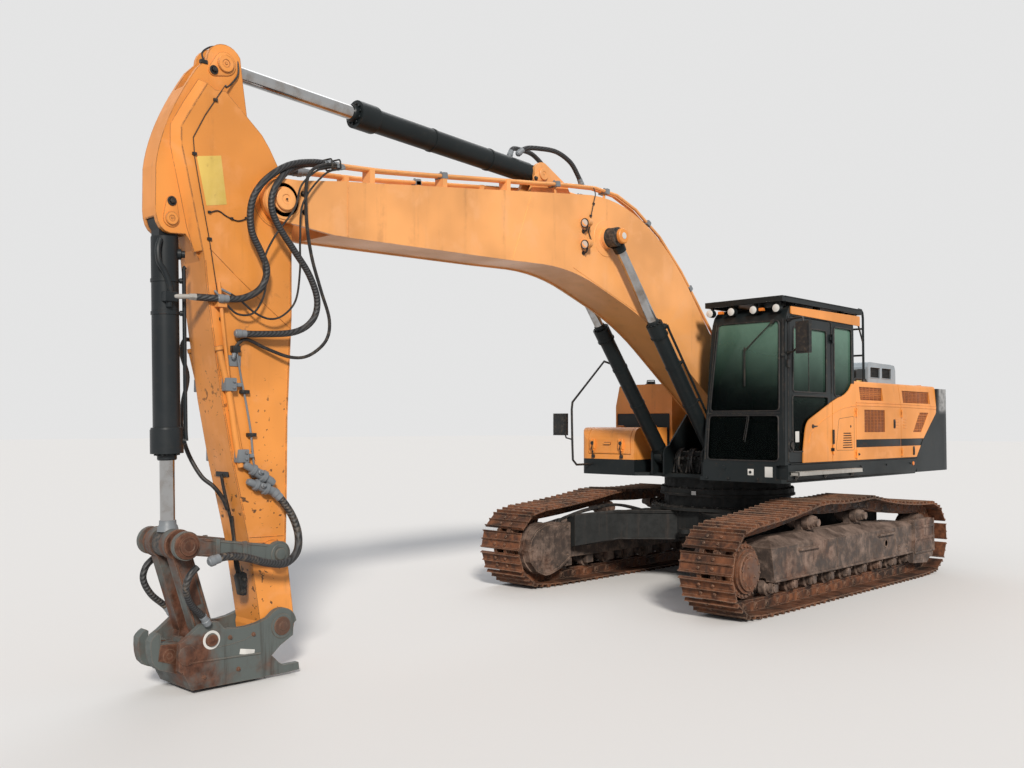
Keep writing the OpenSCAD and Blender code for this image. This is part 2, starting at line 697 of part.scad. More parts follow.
module left_housing() {
  color(orange) {
    // Panel behind the door
    difference() {
      slab_y(cab_side + fit, side_y)
        intersection() {
          polygon(concat(sweep, [[front_seam + door_gap / 2, hood_z - 40],
            [front_seam + door_gap / 2, 1480]]));
          translate([front_seam, 1400]) square([door_back - door_gap / 2 - front_seam, 1100]);
        }
      for (i = [0:6])
        block(-300 + i * 6, -50 - i * 3, side_y - 60, side_y + 10, 1622 + i * 27, 1634 + i * 27);
    }
    // Fixed strip between cab and lid
    block(-850, front_seam - 20, well_in + 4, side_y - 75, hood_z - sheet, hood_z);
    difference() {
      block(front_seam - 32, front_seam - 8, cab_in - 10, side_y - 132, deck_z0 + 40,
        hood_z - sheet + 1);
      block(front_seam - 40, front_seam, cab_in + 200, side_y - 300, 1700, 2200);
    }
  }
  color(charcoal) {
    for (z = hinge_zs)
      translate([front_seam + door_gap / 2, hinge_y, z]) hinge_fixed();
    // Hinge of the rear door, held through the seam
    for (z = hinge_zs)
      translate([mid_seam - 10, hinge_y, z]) {
        cylinder(r = 5, h = 100);
        for (t = [0, 68])
          translate([0, 0, t]) {
            cylinder(r = 9, h = 32);
            translate([0, -3, 0]) cube([12, 6, 32]);
            translate([8, -47, 0]) cube([4, 50, 32]);
          }
      }
    translate([door_back + 2, hinge_y, 1560]) mirror([1, 0, 0]) hinge_fixed();
    // Posts between the doors
    block(mid_seam - 30, mid_seam + 30, side_y - 200, side_y - 131, deck_z0 + 40, hood_z - sheet - fit);
    block(mid_seam - 30, mid_seam + 30, side_y - 132, side_y - 32, deck_top, belt_z - 40);
    // Beam that carries the lid's back edge
    slab_y(well_in + 30, side_y - 90)
      polygon([[hood_back + 20, 2300], [hood_back + 80, 2300], [hood_back + 80, hood_z - sheet - fit],
        [hood_back + 20, hood_z - sheet - fit]]);
    for (y = [-480, side_y - 170])
      slab_y(y - 30, y + 30)
        polygon([[hood_back + 20, weight_z(hood_back + 20) + fit],
          [hood_back + 80, weight_z(hood_back + 80) + fit], [hood_back + 80, 2301],
          [hood_back + 20, 2301]]);
    // Fixed halves of the lid's hinges
    for (y = hood_hinges) {
      bar_y(hood_back - 6, hood_z + 13, 5, y - 100, y);
      for (t = [0, 68]) {
        bar_y(hood_back - 6, hood_z + 13, 9, y - t - 32, y - t);
        slab_y(y - t - 32, y - t)
          polygon([[hood_back - 15, hood_z + 13], [hood_back - 15, hood_z - 80],
            [hood_back + 21, hood_z - 80], [hood_back + 21, hood_z - 50],
            [hood_back - 6, hood_z - 50], [hood_back - 6, hood_z + 13]]);
      }
    }
  }
}

// Right side
tank_front = 300;
pump_front = -1250;
module right_housing() {
  color(orange) {
    difference() {
      slab_x(weight_x + fit, tank_front)
        polygon([[-side_y, deck_top], [-side_y, belt_z], [60 - side_y, hood_z - 20],
          [110 - side_y, hood_z], [well_in, hood_z], [well_in, deck_z0 + 40],
          [130 - side_y, deck_z0 + 40], [130 - side_y, deck_top]]);
      // Pump room
      slab_x(-2080, pump_front)
        polygon([[-side_y - 1, deck_top + 20], [-side_y - 1, belt_z - 20], [60 - side_y, belt_z + 40],
          [well_in - 40, belt_z + 40], [well_in - 40, deck_z0 + 60], [150 - side_y, deck_z0 + 60],
          [150 - side_y, deck_top + 20]]);
      // Recessed dark lower part of the front face
      block(tank_front - 12, tank_front + 1, 20 - side_y, well_in - 20, deck_top, 2030);
    }
    mirror([0, 1, 0])
      for (z = [1560, 1960])
        translate([pump_front - 4, hinge_y, z]) hinge_fixed();
  }
}

module right_door() {
  color(orange) {
    difference() {
      block(-2080 + door_gap, pump_front - door_gap, -side_y, sheet - side_y, deck_top + 20 + door_gap,
        belt_z - 20 - door_gap);
      block(-1900, -1430, -side_y - 10, 40 - side_y, 1700, 1980);
    }
    mirror([0, 1, 0]) {
      grille(-1900, -1430, 1700, 1980, side_y - 2, 6);
      for (z = [1560, 1960])
        translate([pump_front - 4, hinge_y, z]) hinge_moving();
    }
  }
}

box_top = 1850;
lid_out = 125 - side_y;
lid_hinges = [lid_out + 75, -770];
module box_shape(d) {
  offset(delta = -d)
    polygon(concat([[box_back, deck_top], [box_front, deck_top]],
      bend([box_front, 1700], [box_front - 20, box_top], [box_front - 150, box_top], 6),
      [[box_back, box_top]]));
}

module toolbox() {
  color(orange) {
    difference() {
      intersection() {
        slab_y(-side_y, -650) box_shape(0);
        slab_z(deck_top, box_top) box_plan();
      }
      intersection() {
        slab_y(sheet - side_y, -650 - sheet)
          polygon([[box_back + sheet, deck_top + sheet], [box_front - sheet, deck_top + sheet],
            [box_front - sheet, 1690], [box_front - 150, box_top - sheet],
            [box_back + sheet, box_top - sheet]]);
        slab_z(deck_top, box_top)
          polygon([[box_back, sheet - side_y], [box_front - 112, sheet - side_y],
            [box_front - sheet, 112 - side_y], [box_front - sheet, -650], [box_back, -650]]);
      }
      // Opening under the lid
      block(box_back + 50, box_front + 10, lid_out, -700, 1520, box_top + 10);
    }
    for (y = lid_hinges)
      translate([box_back + 54, y, box_top + 13]) rotate([90, 0, 0]) mirror([1, 0, 0]) hinge_fixed();
  }
}

module toolbox_lid() {
  color(orange) {
    intersection() {
      slab_y(lid_out + door_gap, -700 - door_gap)
        difference() {
          box_shape(0);
          box_shape(sheet);
        }
      block(box_back + 50 + door_gap, box_front + 10, -side_y, -600, 1520 + door_gap, box_top + 10);
    }
    for (y = lid_hinges)
      translate([box_back + 54, y, box_top + 13]) rotate([90, 0, 0]) mirror([1, 0, 0]) hinge_moving();
  }
  color(charcoal) {
    for (y = [lid_out + 85, -840])
      block(box_front - 2, box_front + 26, y - 18, y + 18, 1560, 1690);
    block(box_front - 2, box_front + 18, -1110, -1010, 1640, 1662);
  }
}

// Hood
hood_front = -850;
hood_back = -2750;
hood_hinges = [-380, 380, side_y - 190];
module hood() {
  color(orange) {
    difference() {
      block(hood_back, hood_front - door_gap, well_in + door_gap, side_y - 78, hood_z - sheet, hood_z);
      block(-1500, -1100, -200, 300, hood_z - 60, hood_z + 10);
    }
    for (i = [0:4])
      block(-1500 + i * 90, -1470 + i * 90, -201, 301, hood_z - 18, hood_z - 6);
    // Stiffening ribs on top
    for (y = [-400, 1230])
      block(hood_back + 120, hood_front - 160, y - 30, y + 30, hood_z - 1, hood_z + 12);
    for (y = hood_hinges)
      translate([hood_back - 6, y, hood_z + 13]) rotate([90, 0, 0]) mirror([1, 0, 0]) hinge_moving();
  }
}

// Dark intake box in front of the filter housing
module hood_duct() {
  color(charcoal)
    slab_y(550, 980)
      polygon(concat([[-1495, hood_z]], bend([-1495, 2560], [-1500, 2600], [-1550, 2602], 4),
        [[-1760, 2610], [-1760, hood_z]]));
}

box_x0 = -2640;
box_x1 = -1785;
module hood_box() {
  color(steel) {
    difference() {
      slab_y(400, 1000)
        polygon(concat([[box_x1, hood_z], [box_x1, 2640]],
          bend([box_x1 - 10, 2660], [box_x1 - 20, 2705], [box_x1 - 70, 2705], 4),
          [[box_x0 + 80, 2690]],
          bend([box_x0 + 40, 2685], [box_x0 + 10, 2660], [box_x0, 2600], 4), [[box_x0, hood_z]]));
      for (x = [-2150, -2500])
        block(x, x + 300, 940, 1020, 2500, 2640);
      slab_y(424, 976)
        polygon([[box_x1 - 24, 2420], [box_x1 - 24, 2650], [box_x1 - 70, 2680], [box_x0 + 80, 2664],
          [box_x0 + 30, 2600], [box_x0 + 30, 2420]]);
    }
  }
}

// Cab
cab_side = side_y - 12;
cab_foot = deck_top;
cab_slope = 125;

// The cab seen from the side
module cab_profile(d = 0) {
  offset(delta = -d)
    polygon(concat([[cab_back, cab_foot]], [[cab_front, cab_foot]],
      bend([cab_front - 20, cab_top - 260], [cab_front - 40, cab_top], [cab_front - 200, cab_top], 5),
      bend([cab_back + 160, cab_top], [cab_back, cab_top], [cab_back, cab_top - 160], 4)));
}

// The cab seen from the front
module cab_front_view(d = 0) {
  offset(delta = -d)
    polygon(concat([[cab_in, cab_foot], [cab_side, cab_foot], [cab_side, cab_top - 60]],
      bend([cab_side, cab_top - 50], [cab_side, cab_top], [cab_side - 70, cab_top], 4),
      bend([cab_in + cab_slope + 90, cab_top], [cab_in + cab_slope, cab_top],
        [cab_in + cab_slope - 8, cab_top - 90], 4)));
}

module cab_solid(d) {
  intersection() {
    slab_y(cab_in - 10, side_y + 10) cab_profile(d);
    slab_x(cab_back - 10, cab_front + 10) cab_front_view(d);
  }
}

door_front = 1150;
door_top = 3040;
module door_shape(d = 0) {
  offset(r = 40 - d) offset(delta = -40)
    polygon([[door_back, cab_foot + 20], [door_front + 20, cab_foot + 20], [door_front - 10, door_top],
      [door_back, door_top]]);
}

// Window outlines
module side_window() {
  offset(r = 50) offset(delta = -50)
    polygon([[cab_back + 60, 2210], [door_back - 75, 2210], [door_back - 75, 2990],
      [cab_back + 60, 2990]]);
}
module upper_screen() {
  offset(r = 50) offset(delta = -50)
    polygon([[cab_in + 85, 2030], [cab_side - 68, 2030], [cab_side - 68, 2985], [cab_in + 195, 2985]]);
}
module lower_screen() {
  offset(r = 50) offset(delta = -50)
    polygon([[cab_in + 50, 1500], [cab_side - 78, 1500], [cab_side - 78, 1985], [cab_in + 80, 1985]]);
}
module rear_window() {
  offset(r = 60) offset(delta = -60)
    polygon([[cab_in + 205, 2430], [cab_side - 98, 2430], [cab_side - 98, 2960], [cab_in + 225, 2960]]);
}
module right_window() {
  offset(r = 60) offset(delta = -60)
    polygon([[cab_back + 90, 1950], [1090, 1950], [1060, 2960], [cab_back + 90, 2960]]);
}
module roof_hatch() {
  offset(r = 40) offset(delta = -40)
    translate([150, cab_in + 265]) square([720, cab_side - cab_in - 443]);
}

module cab_shell() {
  color(charcoal) {
    difference() {
      cab_solid(0);
      cab_solid(cab_wall);
      slab_y(cab_side - 70, side_y + 20) door_shape();
      slab_y(cab_side - 60, side_y + 20) side_window();
      slab_x(cab_front - 120, cab_front + 20) upper_screen();
      slab_x(cab_front - 120, cab_front + 20) lower_screen();
      slab_x(cab_back - 20, cab_back + 60) rear_window();
      slab_y(cab_in - 20, cab_in + 260) right_window();
      slab_z(cab_top - 60, cab_top + 10) roof_hatch();
    }
  }
  color(charcoal)
    translate([door_back + 2, hinge_y, 2800]) mirror([1, 0, 0]) hinge_fixed(drop = 12);
}

// Strip along the roof's left edge
module roof_trim() {
  color(orange)
    slab_y(cab_side, cab_side + 14)
      offset(r = 12) offset(delta = -12)
        polygon([[cab_back - 140, cab_top - 108], [cab_front - 130, cab_top - 92],
          [cab_front - 130, cab_top - 12], [cab_back - 140, cab_top + 6]]);
}

glass_t = 8;
module cab_glass() {
  color(glass) {
    slab_x(cab_front - 36, cab_front - 28)
      offset(delta = -fit) upper_screen();
    slab_x(cab_front - 30, cab_front - 22)
      offset(delta = -fit) lower_screen();
    slab_x(cab_back + 14, cab_back + 14 + glass_t) offset(delta = -fit) rear_window();
    slab_y(cab_side - 24, cab_side - 16) offset(delta = -fit) side_window();
    slab_z(cab_top - 30, cab_top - 22) offset(delta = -fit) roof_hatch();
  }
}

guard_back = cab_back - 218;
module cab_guard() {
  color(charcoal) {
    difference() {
      slab_z(guard_top - 60, guard_top)
        polygon([[guard_back, cab_in + 15], [cab_front - 14, cab_in + 26], [cab_front + 42, side_y - 30],
          [cab_front + 42, side_y - 6], [guard_back, side_y - 6]]);
      slab_z(guard_top - 80, guard_top - 12)
        polygon([[guard_back + 30, cab_in + 45], [cab_front - 44, cab_in + 56],
          [cab_front + 8, side_y - 40], [guard_back + 30, side_y - 40]]);
    }
    for (x = [-300, 300, 900])
      for (y = [cab_in + 205, side_y - 130])
        block(x - 30, x + 30, y - 30, y + 30, cab_top, guard_top - 10);
    // Lamps under the front edge
    for (i = [0:3]) {
      y = cab_in + 110 + i * (side_y - cab_in - 200) / 3;
      translate([cab_front - 45, y, cab_top - 38]) rotate([0, 90, 0]) cylinder(r = 42, h = 70);
      block(cab_front - 55, cab_front - 18, y - 12, y + 12, cab_top - 38, guard_top - 11);
    }
  }
}

seat_y = (cab_in + cab_side) / 2;
module cab_interior() {
  room = (cab_side - cab_in) / 2;
  floor_z = cab_foot + cab_wall;
  color(black) {
    // Seat
    block(40, 560, seat_y - 250, seat_y + 250, 1620, 1900);
    slab_y(seat_y - 265, seat_y + 265)
      offset(r = 40) offset(delta = -40)
        polygon([[20, 1895], [590, 1895], [600, 2010], [520, 2040], [20, 2010]]);
    translate([60, seat_y, 1990]) rotate([0, -12, 0]) slab_x(-130, 0)
      offset(r = 60) offset(delta = -60) translate([-240, 0]) square([480, 640]);
    translate([60, seat_y, 2000]) rotate([0, -12, 0]) slab_x(-110, -20)
      offset(r = 40) offset(delta = -40) translate([-135, 600]) square([270, 250]);
    block(100, 500, seat_y - 200, seat_y + 200, floor_z, 1640);
    // Consoles beside the seat
    for (s = [-1, 1]) {
      y0 = seat_y + min(s * 0.6 * room, s * 0.82 * room);
      y1 = seat_y + max(s * 0.6 * room, s * 0.82 * room);
      slab_y(y0, y1)
        polygon([[60, 1900], [640, 1960], [650, 2100], [560, 2150], [60, 2150]]);
      block(160, 560, y0, y1, floor_z, 1930);
      pipe([[560, (y0 + y1) / 2, 2130], [575, (y0 + y1) / 2, 2240], [600, (y0 + y1) / 2, 2330]], 16);
    }
    // Travel levers with their pedals
    for (s = [-1, 1]) {
      y = seat_y + s * 90;
      pipe([[880, y, floor_z], [880, y, cab_foot + 120], [900, y, 1800], [860, y, 2160]], 13);
      translate([870, y, floor_z + 2]) rotate([0, -25, 0]) block(0, 150, -45, 45, 0, 18);
    }
    // Display on its post
    block(960, 1000, seat_y - 0.83 * room, seat_y - 0.47 * room, 2300, 2450);
    pipe([[980, seat_y - 0.75 * room, cab_foot + 240], [980, seat_y - 0.7 * room, 2310]], 16);
    block(900, 1080, seat_y - 0.86 * room, seat_y - 0.62 * room, floor_z, cab_foot + 250);
  }
}

// Cab door
module cab_door() {
  color(charcoal) {
    difference() {
      slab_y(cab_side - cab_wall, cab_side) door_shape(door_gap);
      slab_y(cab_side - 80, cab_side + 10) door_window_upper();
      slab_y(cab_side - 80, cab_side + 10) door_window_lower();
    }
    translate([door_back + 2, hinge_y, 2800]) mirror([1, 0, 0]) hinge_moving(drop = 12);
    translate([door_back + 2, hinge_y, 1560]) mirror([1, 0, 0]) hinge_moving(sink = 0);
  }
}
module door_window_upper() {
  offset(r = 40) offset(delta = -40)
    polygon([[door_back + 110, 2236], [1075, 2236], [1050, 2930], [door_back + 110, 2930]]);
}
module door_window_lower() {
  offset(r = 40) offset(delta = -40)
    polygon([[door_back + 80, 1600], [1085, 1600], [1085, 2196], [door_back + 80, 2196]]);
}
module door_panel() {
  color(orange) {
    slab_y(cab_side, side_y)
      intersection() {
        polygon(concat(sweep, [[front_seam, hood_z], [front_seam, 1480]]));
        translate([door_back + door_gap, 1480]) square([1000, 900]);
      }
  }
}
module door_glass() {
  color(glass) {
    slab_y(cab_side - 24, cab_side - 16) offset(delta = -fit) door_window_upper();
    slab_y(cab_side - 24, cab_side - 16) offset(delta = -fit) door_window_lower();
  }
}

module mirrors() {
  post = cab_front - 60;
  color(black) {
    // Left, on the cab's front post
    pipe([[post, cab_side, 2985], [post, cab_side + 30, 2985], [cab_front - 25, side_y + 80, 2992],
      [cab_front + 30, side_y + 180, 2994], [cab_front + 55, side_y + 232, 2990],
      [cab_front + 60, side_y + 240, 2930]], 12);
    pipe([[post, cab_side, 2640], [post, cab_side + 30, 2640], [cab_front - 25, side_y + 80, 2650],
      [cab_front + 30, side_y + 150, 2680], [cab_front + 45, side_y + 180, 2720]], 10);
    slab_z(2620, 2950)
      polygon([[cab_front + 23, side_y + 162], [cab_front + 60, side_y + 150],
        [cab_front + 98, side_y + 318], [cab_front + 60, side_y + 330]]);
    // Right, at the front of the toolbox
    pipe([[box_front, 170 - side_y, 1390], [box_front + 60, 170 - side_y, 1390],
      [1300, 170 - side_y, 1390], [1370, 170 - side_y, 1450], [1380, 170 - side_y, 1640],
      [1380, 160 - side_y, 2070], [1330, 130 - side_y, 2160], [620, 60 - side_y, 2700],
      [330, 80 - side_y, 2640], [230, 130 - side_y, 2560], [230, 130 - side_y, hood_z + 60],
      [230, 130 - side_y, hood_z]], 14);
    pipe([[1380, 170 - side_y, 1700], [1380, 70 - side_y, 1720], [1380, 40 - side_y, 1800]], 10);
    slab_z(1750, 2020)
      polygon([[1365, 90 - side_y], [1405, 90 - side_y], [1405, -side_y - 110], [1385, -side_y - 140],
        [1365, -side_y - 110]]);
  }
}

rail_ys = [cab_in + 225, side_y - 100];
module handrails() {
  back = hood_front + 35;
  color(black) {
    for (y = rail_ys)
      pipe([[back, y, hood_z], [back, y, 3170], [back + 12, y, 3230], [back + 50, y, 3262],
        [back + 110, y, 3264], [back + 150, y, guard_top - 18], [back + 185, y, guard_top - 30],
        [guard_back, y, guard_top - 30]], 15);
    pipe([[back, rail_ys[0], 3040], [back, rail_ys[1], 3040]], 12);
    pipe([[back, rail_ys[0], 2720], [back, rail_ys[1], 2720]], 12);
  }
}

// Boom
ram = [[ram_x, ram_z], [ram_top_x, ram_top_z]];
boom_top = concat([[foot_x - 70, foot_z + 175], [foot_x + 60, 2440]],
  bend([1200, 3450], [2050, 4350], [3050, 4200], 14),
  [[5976, 3812], [tip_x - 137, tip_z + 172], [tip_x - 12, tip_z + 164.5]]);
boom_under = concat(
  [[tip_x - 12, tip_z - 164.5], [tip_x - 100, tip_z - 170], [tip_x - 470, tip_z - 203],
    [tip_x - 600, tip_z - 201], [4103, 3408]],
  bend([3650, 3424], [3204, 3432], [2800, 3290], 6),
  bend([2400, 3153], [1936, 2994], [1550, 2733], 6), [[foot_x + 60, foot_z - 190]]);

module boom_shape() {
  difference() {
    union() {
      polygon(concat(boom_top, boom_under));
      translate([foot_x, foot_z]) circle(r = 190);
      translate([tip_x, tip_z]) circle(r = 165);
    }
    translate([foot_x, foot_z]) circle(r = big_pin_r + fit);
    translate([tip_x, tip_z]) circle(r = big_pin_r - 1);
  }
}

fork_x = tip_x - 480;
boss_in = boom_w / 2 - boom_plate - 0.5;
module boom() {
  half = boom_w / 2;
  color(orange) {
    both() slab_y(half - boom_plate, half) boom_shape();
    // Cover plates between the sides
    slab_y(boom_plate - half - 1, half - boom_plate + 1)
      intersection() {
        offset(delta = -12) boom_shape();
        translate([foot_x - 400, 1500]) square([fork_x - foot_x + 400, 3500]);
      }
    // Thicker cheeks at the arm's pin
    both()
      difference() {
        union() {
          slab_y(half - boom_plate, half + 12)
            intersection() {
              boom_shape();
              translate([5971, 3000]) square([900, 1000]);
            }
          bar_y(tip_x, tip_z, 98, half - boom_plate, half + 26);
        }
        bar_y(tip_x, tip_z, big_pin_r - 1, 200, half + 60);
      }
    // Bosses for the boom cylinders
    both() bar_y(ram_top_x, ram_top_z, 106, half - 4, ram_y - 57);
    // Bracket for the arm cylinder
    both()
      difference() {
        slab_y(62, 100)
          union() {
            translate([stick_foot_x, stick_foot_z]) circle(r = 118);
            polygon([[3020, 4150], [3700, 4080], [stick_foot_x + 104, stick_foot_z - 55],
              [stick_foot_x - 60, stick_foot_z + 102], [3120, 4300]]);
          }
        bar_y(stick_foot_x, stick_foot_z, pin_r - 1, 60, 110);
      }
    bar_y(stick_foot_x, stick_foot_z, pin_r, -112, 112);
    // Pin through the arm
    bar_y(tip_x, tip_z, big_pin_r, -half - 36, half + 36);
  }
}

// Height of the boom's top plate over x, in front of the bend
function top_z(x) = 4200 - (x - 3050) * 388 / 2926 - 12.1 + fit;
pipe_line = [[6056, 3941], [5597, 3978], [5068, 4040], [4351, 4132], [3621, 4222], [3200, 4278],
  [2802, 4318], [2440, 4300], [2120, 4200], [1681, 3960], [1269, 3620], [892, 3230], [600, 2925]];
module boom_pipes() {
  color(orange) {
    for (y = [205, 150, -205, -150])
      pipe([for (p = pipe_line) [p[0], y, p[1]]], 17);
    for (x = [5700, 4900, 4100])
      both()
        slab_y(124, 228)
          polygon([[x - 25, top_z(x - 25)], [x + 25, top_z(x + 25)], [x + 25, top_z(x + 25) + 128],
            [x - 25, top_z(x - 25) + 128]]);
  }
  // Lamps on the side
  color(charcoal)
    for (z = [3913, 3696]) {
      block(3030, 3086, boom_w / 2, boom_w / 2 + 20, z - 30, z + 30);
      translate([3020, boom_w / 2 + 55, z]) rotate([0, 90, 12]) cylinder(r = 45, h = 70);
    }
}

// A cylinder's barrel with its foot eye, drawn along x from the pin
module barrel(length, r, rod, eye_w, eye_r, gland_r, neck, gland_l = 150) {
  bore = r - 12;
  difference() {
    union() {
      rotate([0, 90, 0]) translate([0, 0, neck]) cylinder(r = r, h = length - neck - 10);
      block(0, neck + 1, -eye_w / 2, eye_w / 2, -eye_r * 0.7, eye_r * 0.7);
      rotate([0, 90, 0]) translate([0, 0, length - gland_l]) cylinder(r = gland_r, h = gland_l);
      bar_y(0, 0, eye_r, -eye_w / 2, eye_w / 2);
    }
    rotate([0, 90, 0]) translate([0, 0, neck + 14]) cylinder(r = bore, h = length - neck - gland_l + 16);
    rotate([0, 90, 0]) translate([0, 0, neck + 14]) cylinder(r = rod + fit, h = length);
    bar_y(0, 0, pin_r + fit, -eye_w, eye_w);
  }
}

// A rod with its eye and piston, drawn along -x from the eye's pin
module rod(length, r, barrel_r, eye_w, eye_r, stub) {
  difference() {
    union() {
      rotate([0, -90, 0]) translate([0, 0, 20]) cylinder(r = r, h = length - 20);
      rotate([0, -90, 0]) translate([0, 0, length - 60]) cylinder(r = barrel_r - 12 - fit, h = 60);
      bar_y(0, 0, eye_r, -eye_w / 2, eye_w / 2);
    }
    bar_y(0, 0, pin_r - 12, eye_w / 2 - 8, eye_w);
  }
  bar_y(0, 0, pin_r, -stub, stub);
}

module lay(p, q, y) translate([p[0], y, p[1]]) rotate([0, -aim(p, q), 0]) children();

ram_len = span(ram[0], ram[1]);
module boom_ram(y)
  color(charcoal)
    lay(ram[0], ram[1], y) barrel(0.6315 * ram_len, ram_r, ram_rod_r, 110, 100, ram_r + 8, 136);
module boom_rod(y, s) {
  color(steel) lay(ram[1], 2 * ram[1] - ram[0], y) {
    rod(0.6914 * ram_len, ram_rod_r, ram_r, 110, 98, 55);
    bar_y(0, 0, 66, s > 0 ? 50 : -88, s > 0 ? 88 : -50);
  }
}
module boom_ram_left() boom_ram(ram_y);
module boom_ram_right() boom_ram(-ram_y);
module boom_rod_left() boom_rod(ram_y, 1);
module boom_rod_right() boom_rod(-ram_y, -1);

// Arm
arm_tip_r = 150;
// Height over the arm pin as a share of the way up to the cylinder's pin
function up(k) = tip_z + k * (stick_z - tip_z);
arm_box = concat(
  [[stick_x + 112, up(0.756)], [stick_x + 32, up(0.765)], [stick_x - 128, up(0.628)],
    [stick_x - 276, up(0.497)], [stick_x - 343, up(0.406)], [tip_x - 8, up(0.27)]],
  arc(tip_x, tip_z, 200, 110, 215, 10),
  [[6432, 3363], [6423, 2700], [6450, 1941], [6449, 1312], [6452, 962], [nose_x - 145, nose_z + 40]],
  arc(nose_x, nose_z, arm_tip_r, 165, 375, 14),
  [[6765, 988], [6809, 1173], [6910, 1576], [7011, 2056], [7127, 2766], [7165, 3089], [7261, 3503],
    [7347, up(0.3)], [7350, up(0.426)], [stick_x + 177, up(0.789)]]);

bracket_front = concat(arc(stick_x, stick_z, 145, 150, 0, 10),
  bend([tilt_x - 182, up(0.9155)], [tilt_x + 88, up(0.467)], [tilt_x + 120, tilt_z + 365], 10),
  bend([tilt_x + 118, tilt_z + 73], [tilt_x + 114, tilt_z - 92], [tilt_x + 5, tilt_z - 103], 5),
  [[tilt_x - 111, tilt_z - 94], [tilt_x - 187, tilt_z - 201]]);
module bracket_shape() {
  polygon(concat(bracket_front,
    [[7000, tilt_z - 627], [6640, tilt_z - 27], [stick_x - 218, up(0.446)],
      [stick_x - 150, stick_z - 109]]));
}

module arm() {
  half = arm_w / 2;
  lug = bracket_w / 2;
  color(orange) {
    difference() {
      union() {
        slab_y(-half, half) polygon(arm_box);
        bar_y(tip_x, tip_z, 150, -boss_in, boss_in);
        bar_y(rock_x, rock_z, 92, -234.7, 234.7);
        slab_y(-lug, lug) bracket_shape();
      }
      bar_y(tip_x, tip_z, big_pin_r + fit, -300, 300);
      bar_y(nose_x, nose_z, pin_r + fit, -300, 300);
      bar_y(rock_x, rock_z, pin_r + fit, -300, 300);
      bar_y(stick_x, stick_z, pin_r + fit, -300, 300);
      bar_y(tilt_x, tilt_z, pin_r + fit, -300, 300);
      // Room for the arm cylinder's eye
      slab_y(-61, 61)
        polygon([[stick_x - 378, stick_z - 387], [stick_x - 78, stick_z - 207],
          [stick_x + 112, stick_z - 227], [stick_x + 422, stick_z - 237],
          [stick_x + 422, stick_z + 363], [stick_x - 478, stick_z + 363]]);
      // Room for the coupler cylinder's eye
      slab_y(-61, 61)
        union() {
          translate([tilt_x, tilt_z]) circle(r = 108);
          polygon([[tilt_x - 108, tilt_z], [tilt_x + 130, tilt_z], [tilt_x + 130, 3000],
            [tilt_x - 140, 3000]]);
        }
    }
    both() bar_y(stick_x, stick_z, pin_r, 66, 112);
    both() bar_y(tilt_x, tilt_z, pin_r, 0, 112);
  }
}

module arm_pipes() {
  half = arm_w / 2;
  color(orange) {
    both() {
      pipe([[7060, half + 28, 2900], [6966, half + 28, 2165], [6857, half + 28, 1647]], 14);
    }
  }
  color(steel)
    both()
      for (p = [[7040, 2760], [6966, 2165], [6857, 1647]])
        block(p[0] - 38, p[0] + 38, half, half + 50, p[1] - 40, p[1] + 40);
}

stick_len = span([stick_foot_x, stick_foot_z], [stick_x, stick_z]);
module arm_ram()
  color(charcoal)
    lay([stick_foot_x, stick_foot_z], [stick_x, stick_z], 0)
      barrel(0.6377 * stick_len, stick_r, stick_rod_r, 116, 105, stick_r + 18, 142, 190);
module arm_rod()
  color(steel)
    lay([stick_x, stick_z], 2 * [stick_x, stick_z] - [stick_foot_x, stick_foot_z], 0)
      rod(0.6491 * stick_len, stick_rod_r, stick_r, 116, 105, 58);

tilt_len = span([tilt_x, tilt_z], [knee_x, knee_z]);
module coupler_ram()
  color(charcoal)
    lay([tilt_x, tilt_z], [knee_x, knee_z], 0)
      barrel(0.7236 * tilt_len, tilt_r, tilt_rod_r, 116, 100, tilt_r + 20, 122, 170);
module coupler_rod()
  color(steel)
    lay([knee_x, knee_z], 2 * [knee_x, knee_z] - [tilt_x, tilt_z], 0)
      rod(0.797 * tilt_len, tilt_rod_r, tilt_r, 110, 95, 62);

// Linkage
module rocker() {
  a = [rock_x, rock_z];
  b = [knee_x, knee_z];
  color(charcoal) {
    both() {
      difference() {
        slab_y(235, 275)
          union() {
            translate(a) circle(r = 92);
            translate(b) circle(r = 100);
            translate(a) rotate(aim(a, b)) translate([0, -62]) square([span(a, b), 124]);
          }
      }
      bar_y(b[0], b[1], pin_r + 20, 168, 236);
      bar_y(a[0], a[1], pin_r, 0, 290);
      bar_y(b[0], b[1], pin_r + 12, 270, 292);
    }
  }
}

module link() {
  a = [knee_x, knee_z];
  b = [lug_x, lug_z];
  color(rust) {
    both()
      difference() {
        slab_y(70, 165)
          union() {
            translate(a) circle(r = 105);
            translate(b) circle(r = 92);
            translate(a) rotate(aim(a, b)) translate([0, -70]) square([span(a, b), 140]);
          }
        bar_y(b[0], b[1], pin_r + fit, 60, 200);
        bar_y(a[0], a[1], pin_r, 60, 120);
      }
    difference() {
      slab_y(-71, 71)
        translate(a) rotate(aim(a, b))
          translate([span(a, b) * 0.34, -60]) square([span(a, b) * 0.3, 60]);
    }
  }
}

// Side plate of the coupler
coupler_side = concat([[6420, 295], [6416, 380]], arc(nose_x, nose_z, 132, 170, 60, 8),
  bend([6640, 450], [6800, 390], [6997, 425], 4),
  bend([7040, 480], [7110, 492], [7180, 475], 4),
  [[7279, 399], [7332, 366], [7338, 182], [7318, 162], [7267, 216], [6705, 196], [6636, 143],
    [6530, 235]]);

// Front jaw with its slot for a tool's pin
jaw = concat([[7200, 205], [7300, 140], [7435, 190]],
  bend([7470, 225], [7490, 260], [7495, 338], 3), bend([7494, 390], [7480, 420], [7440, 441], 3),
  [[7424, 430], [7422, 369], [7300, 359], [7280, 335], [7240, 335]]);

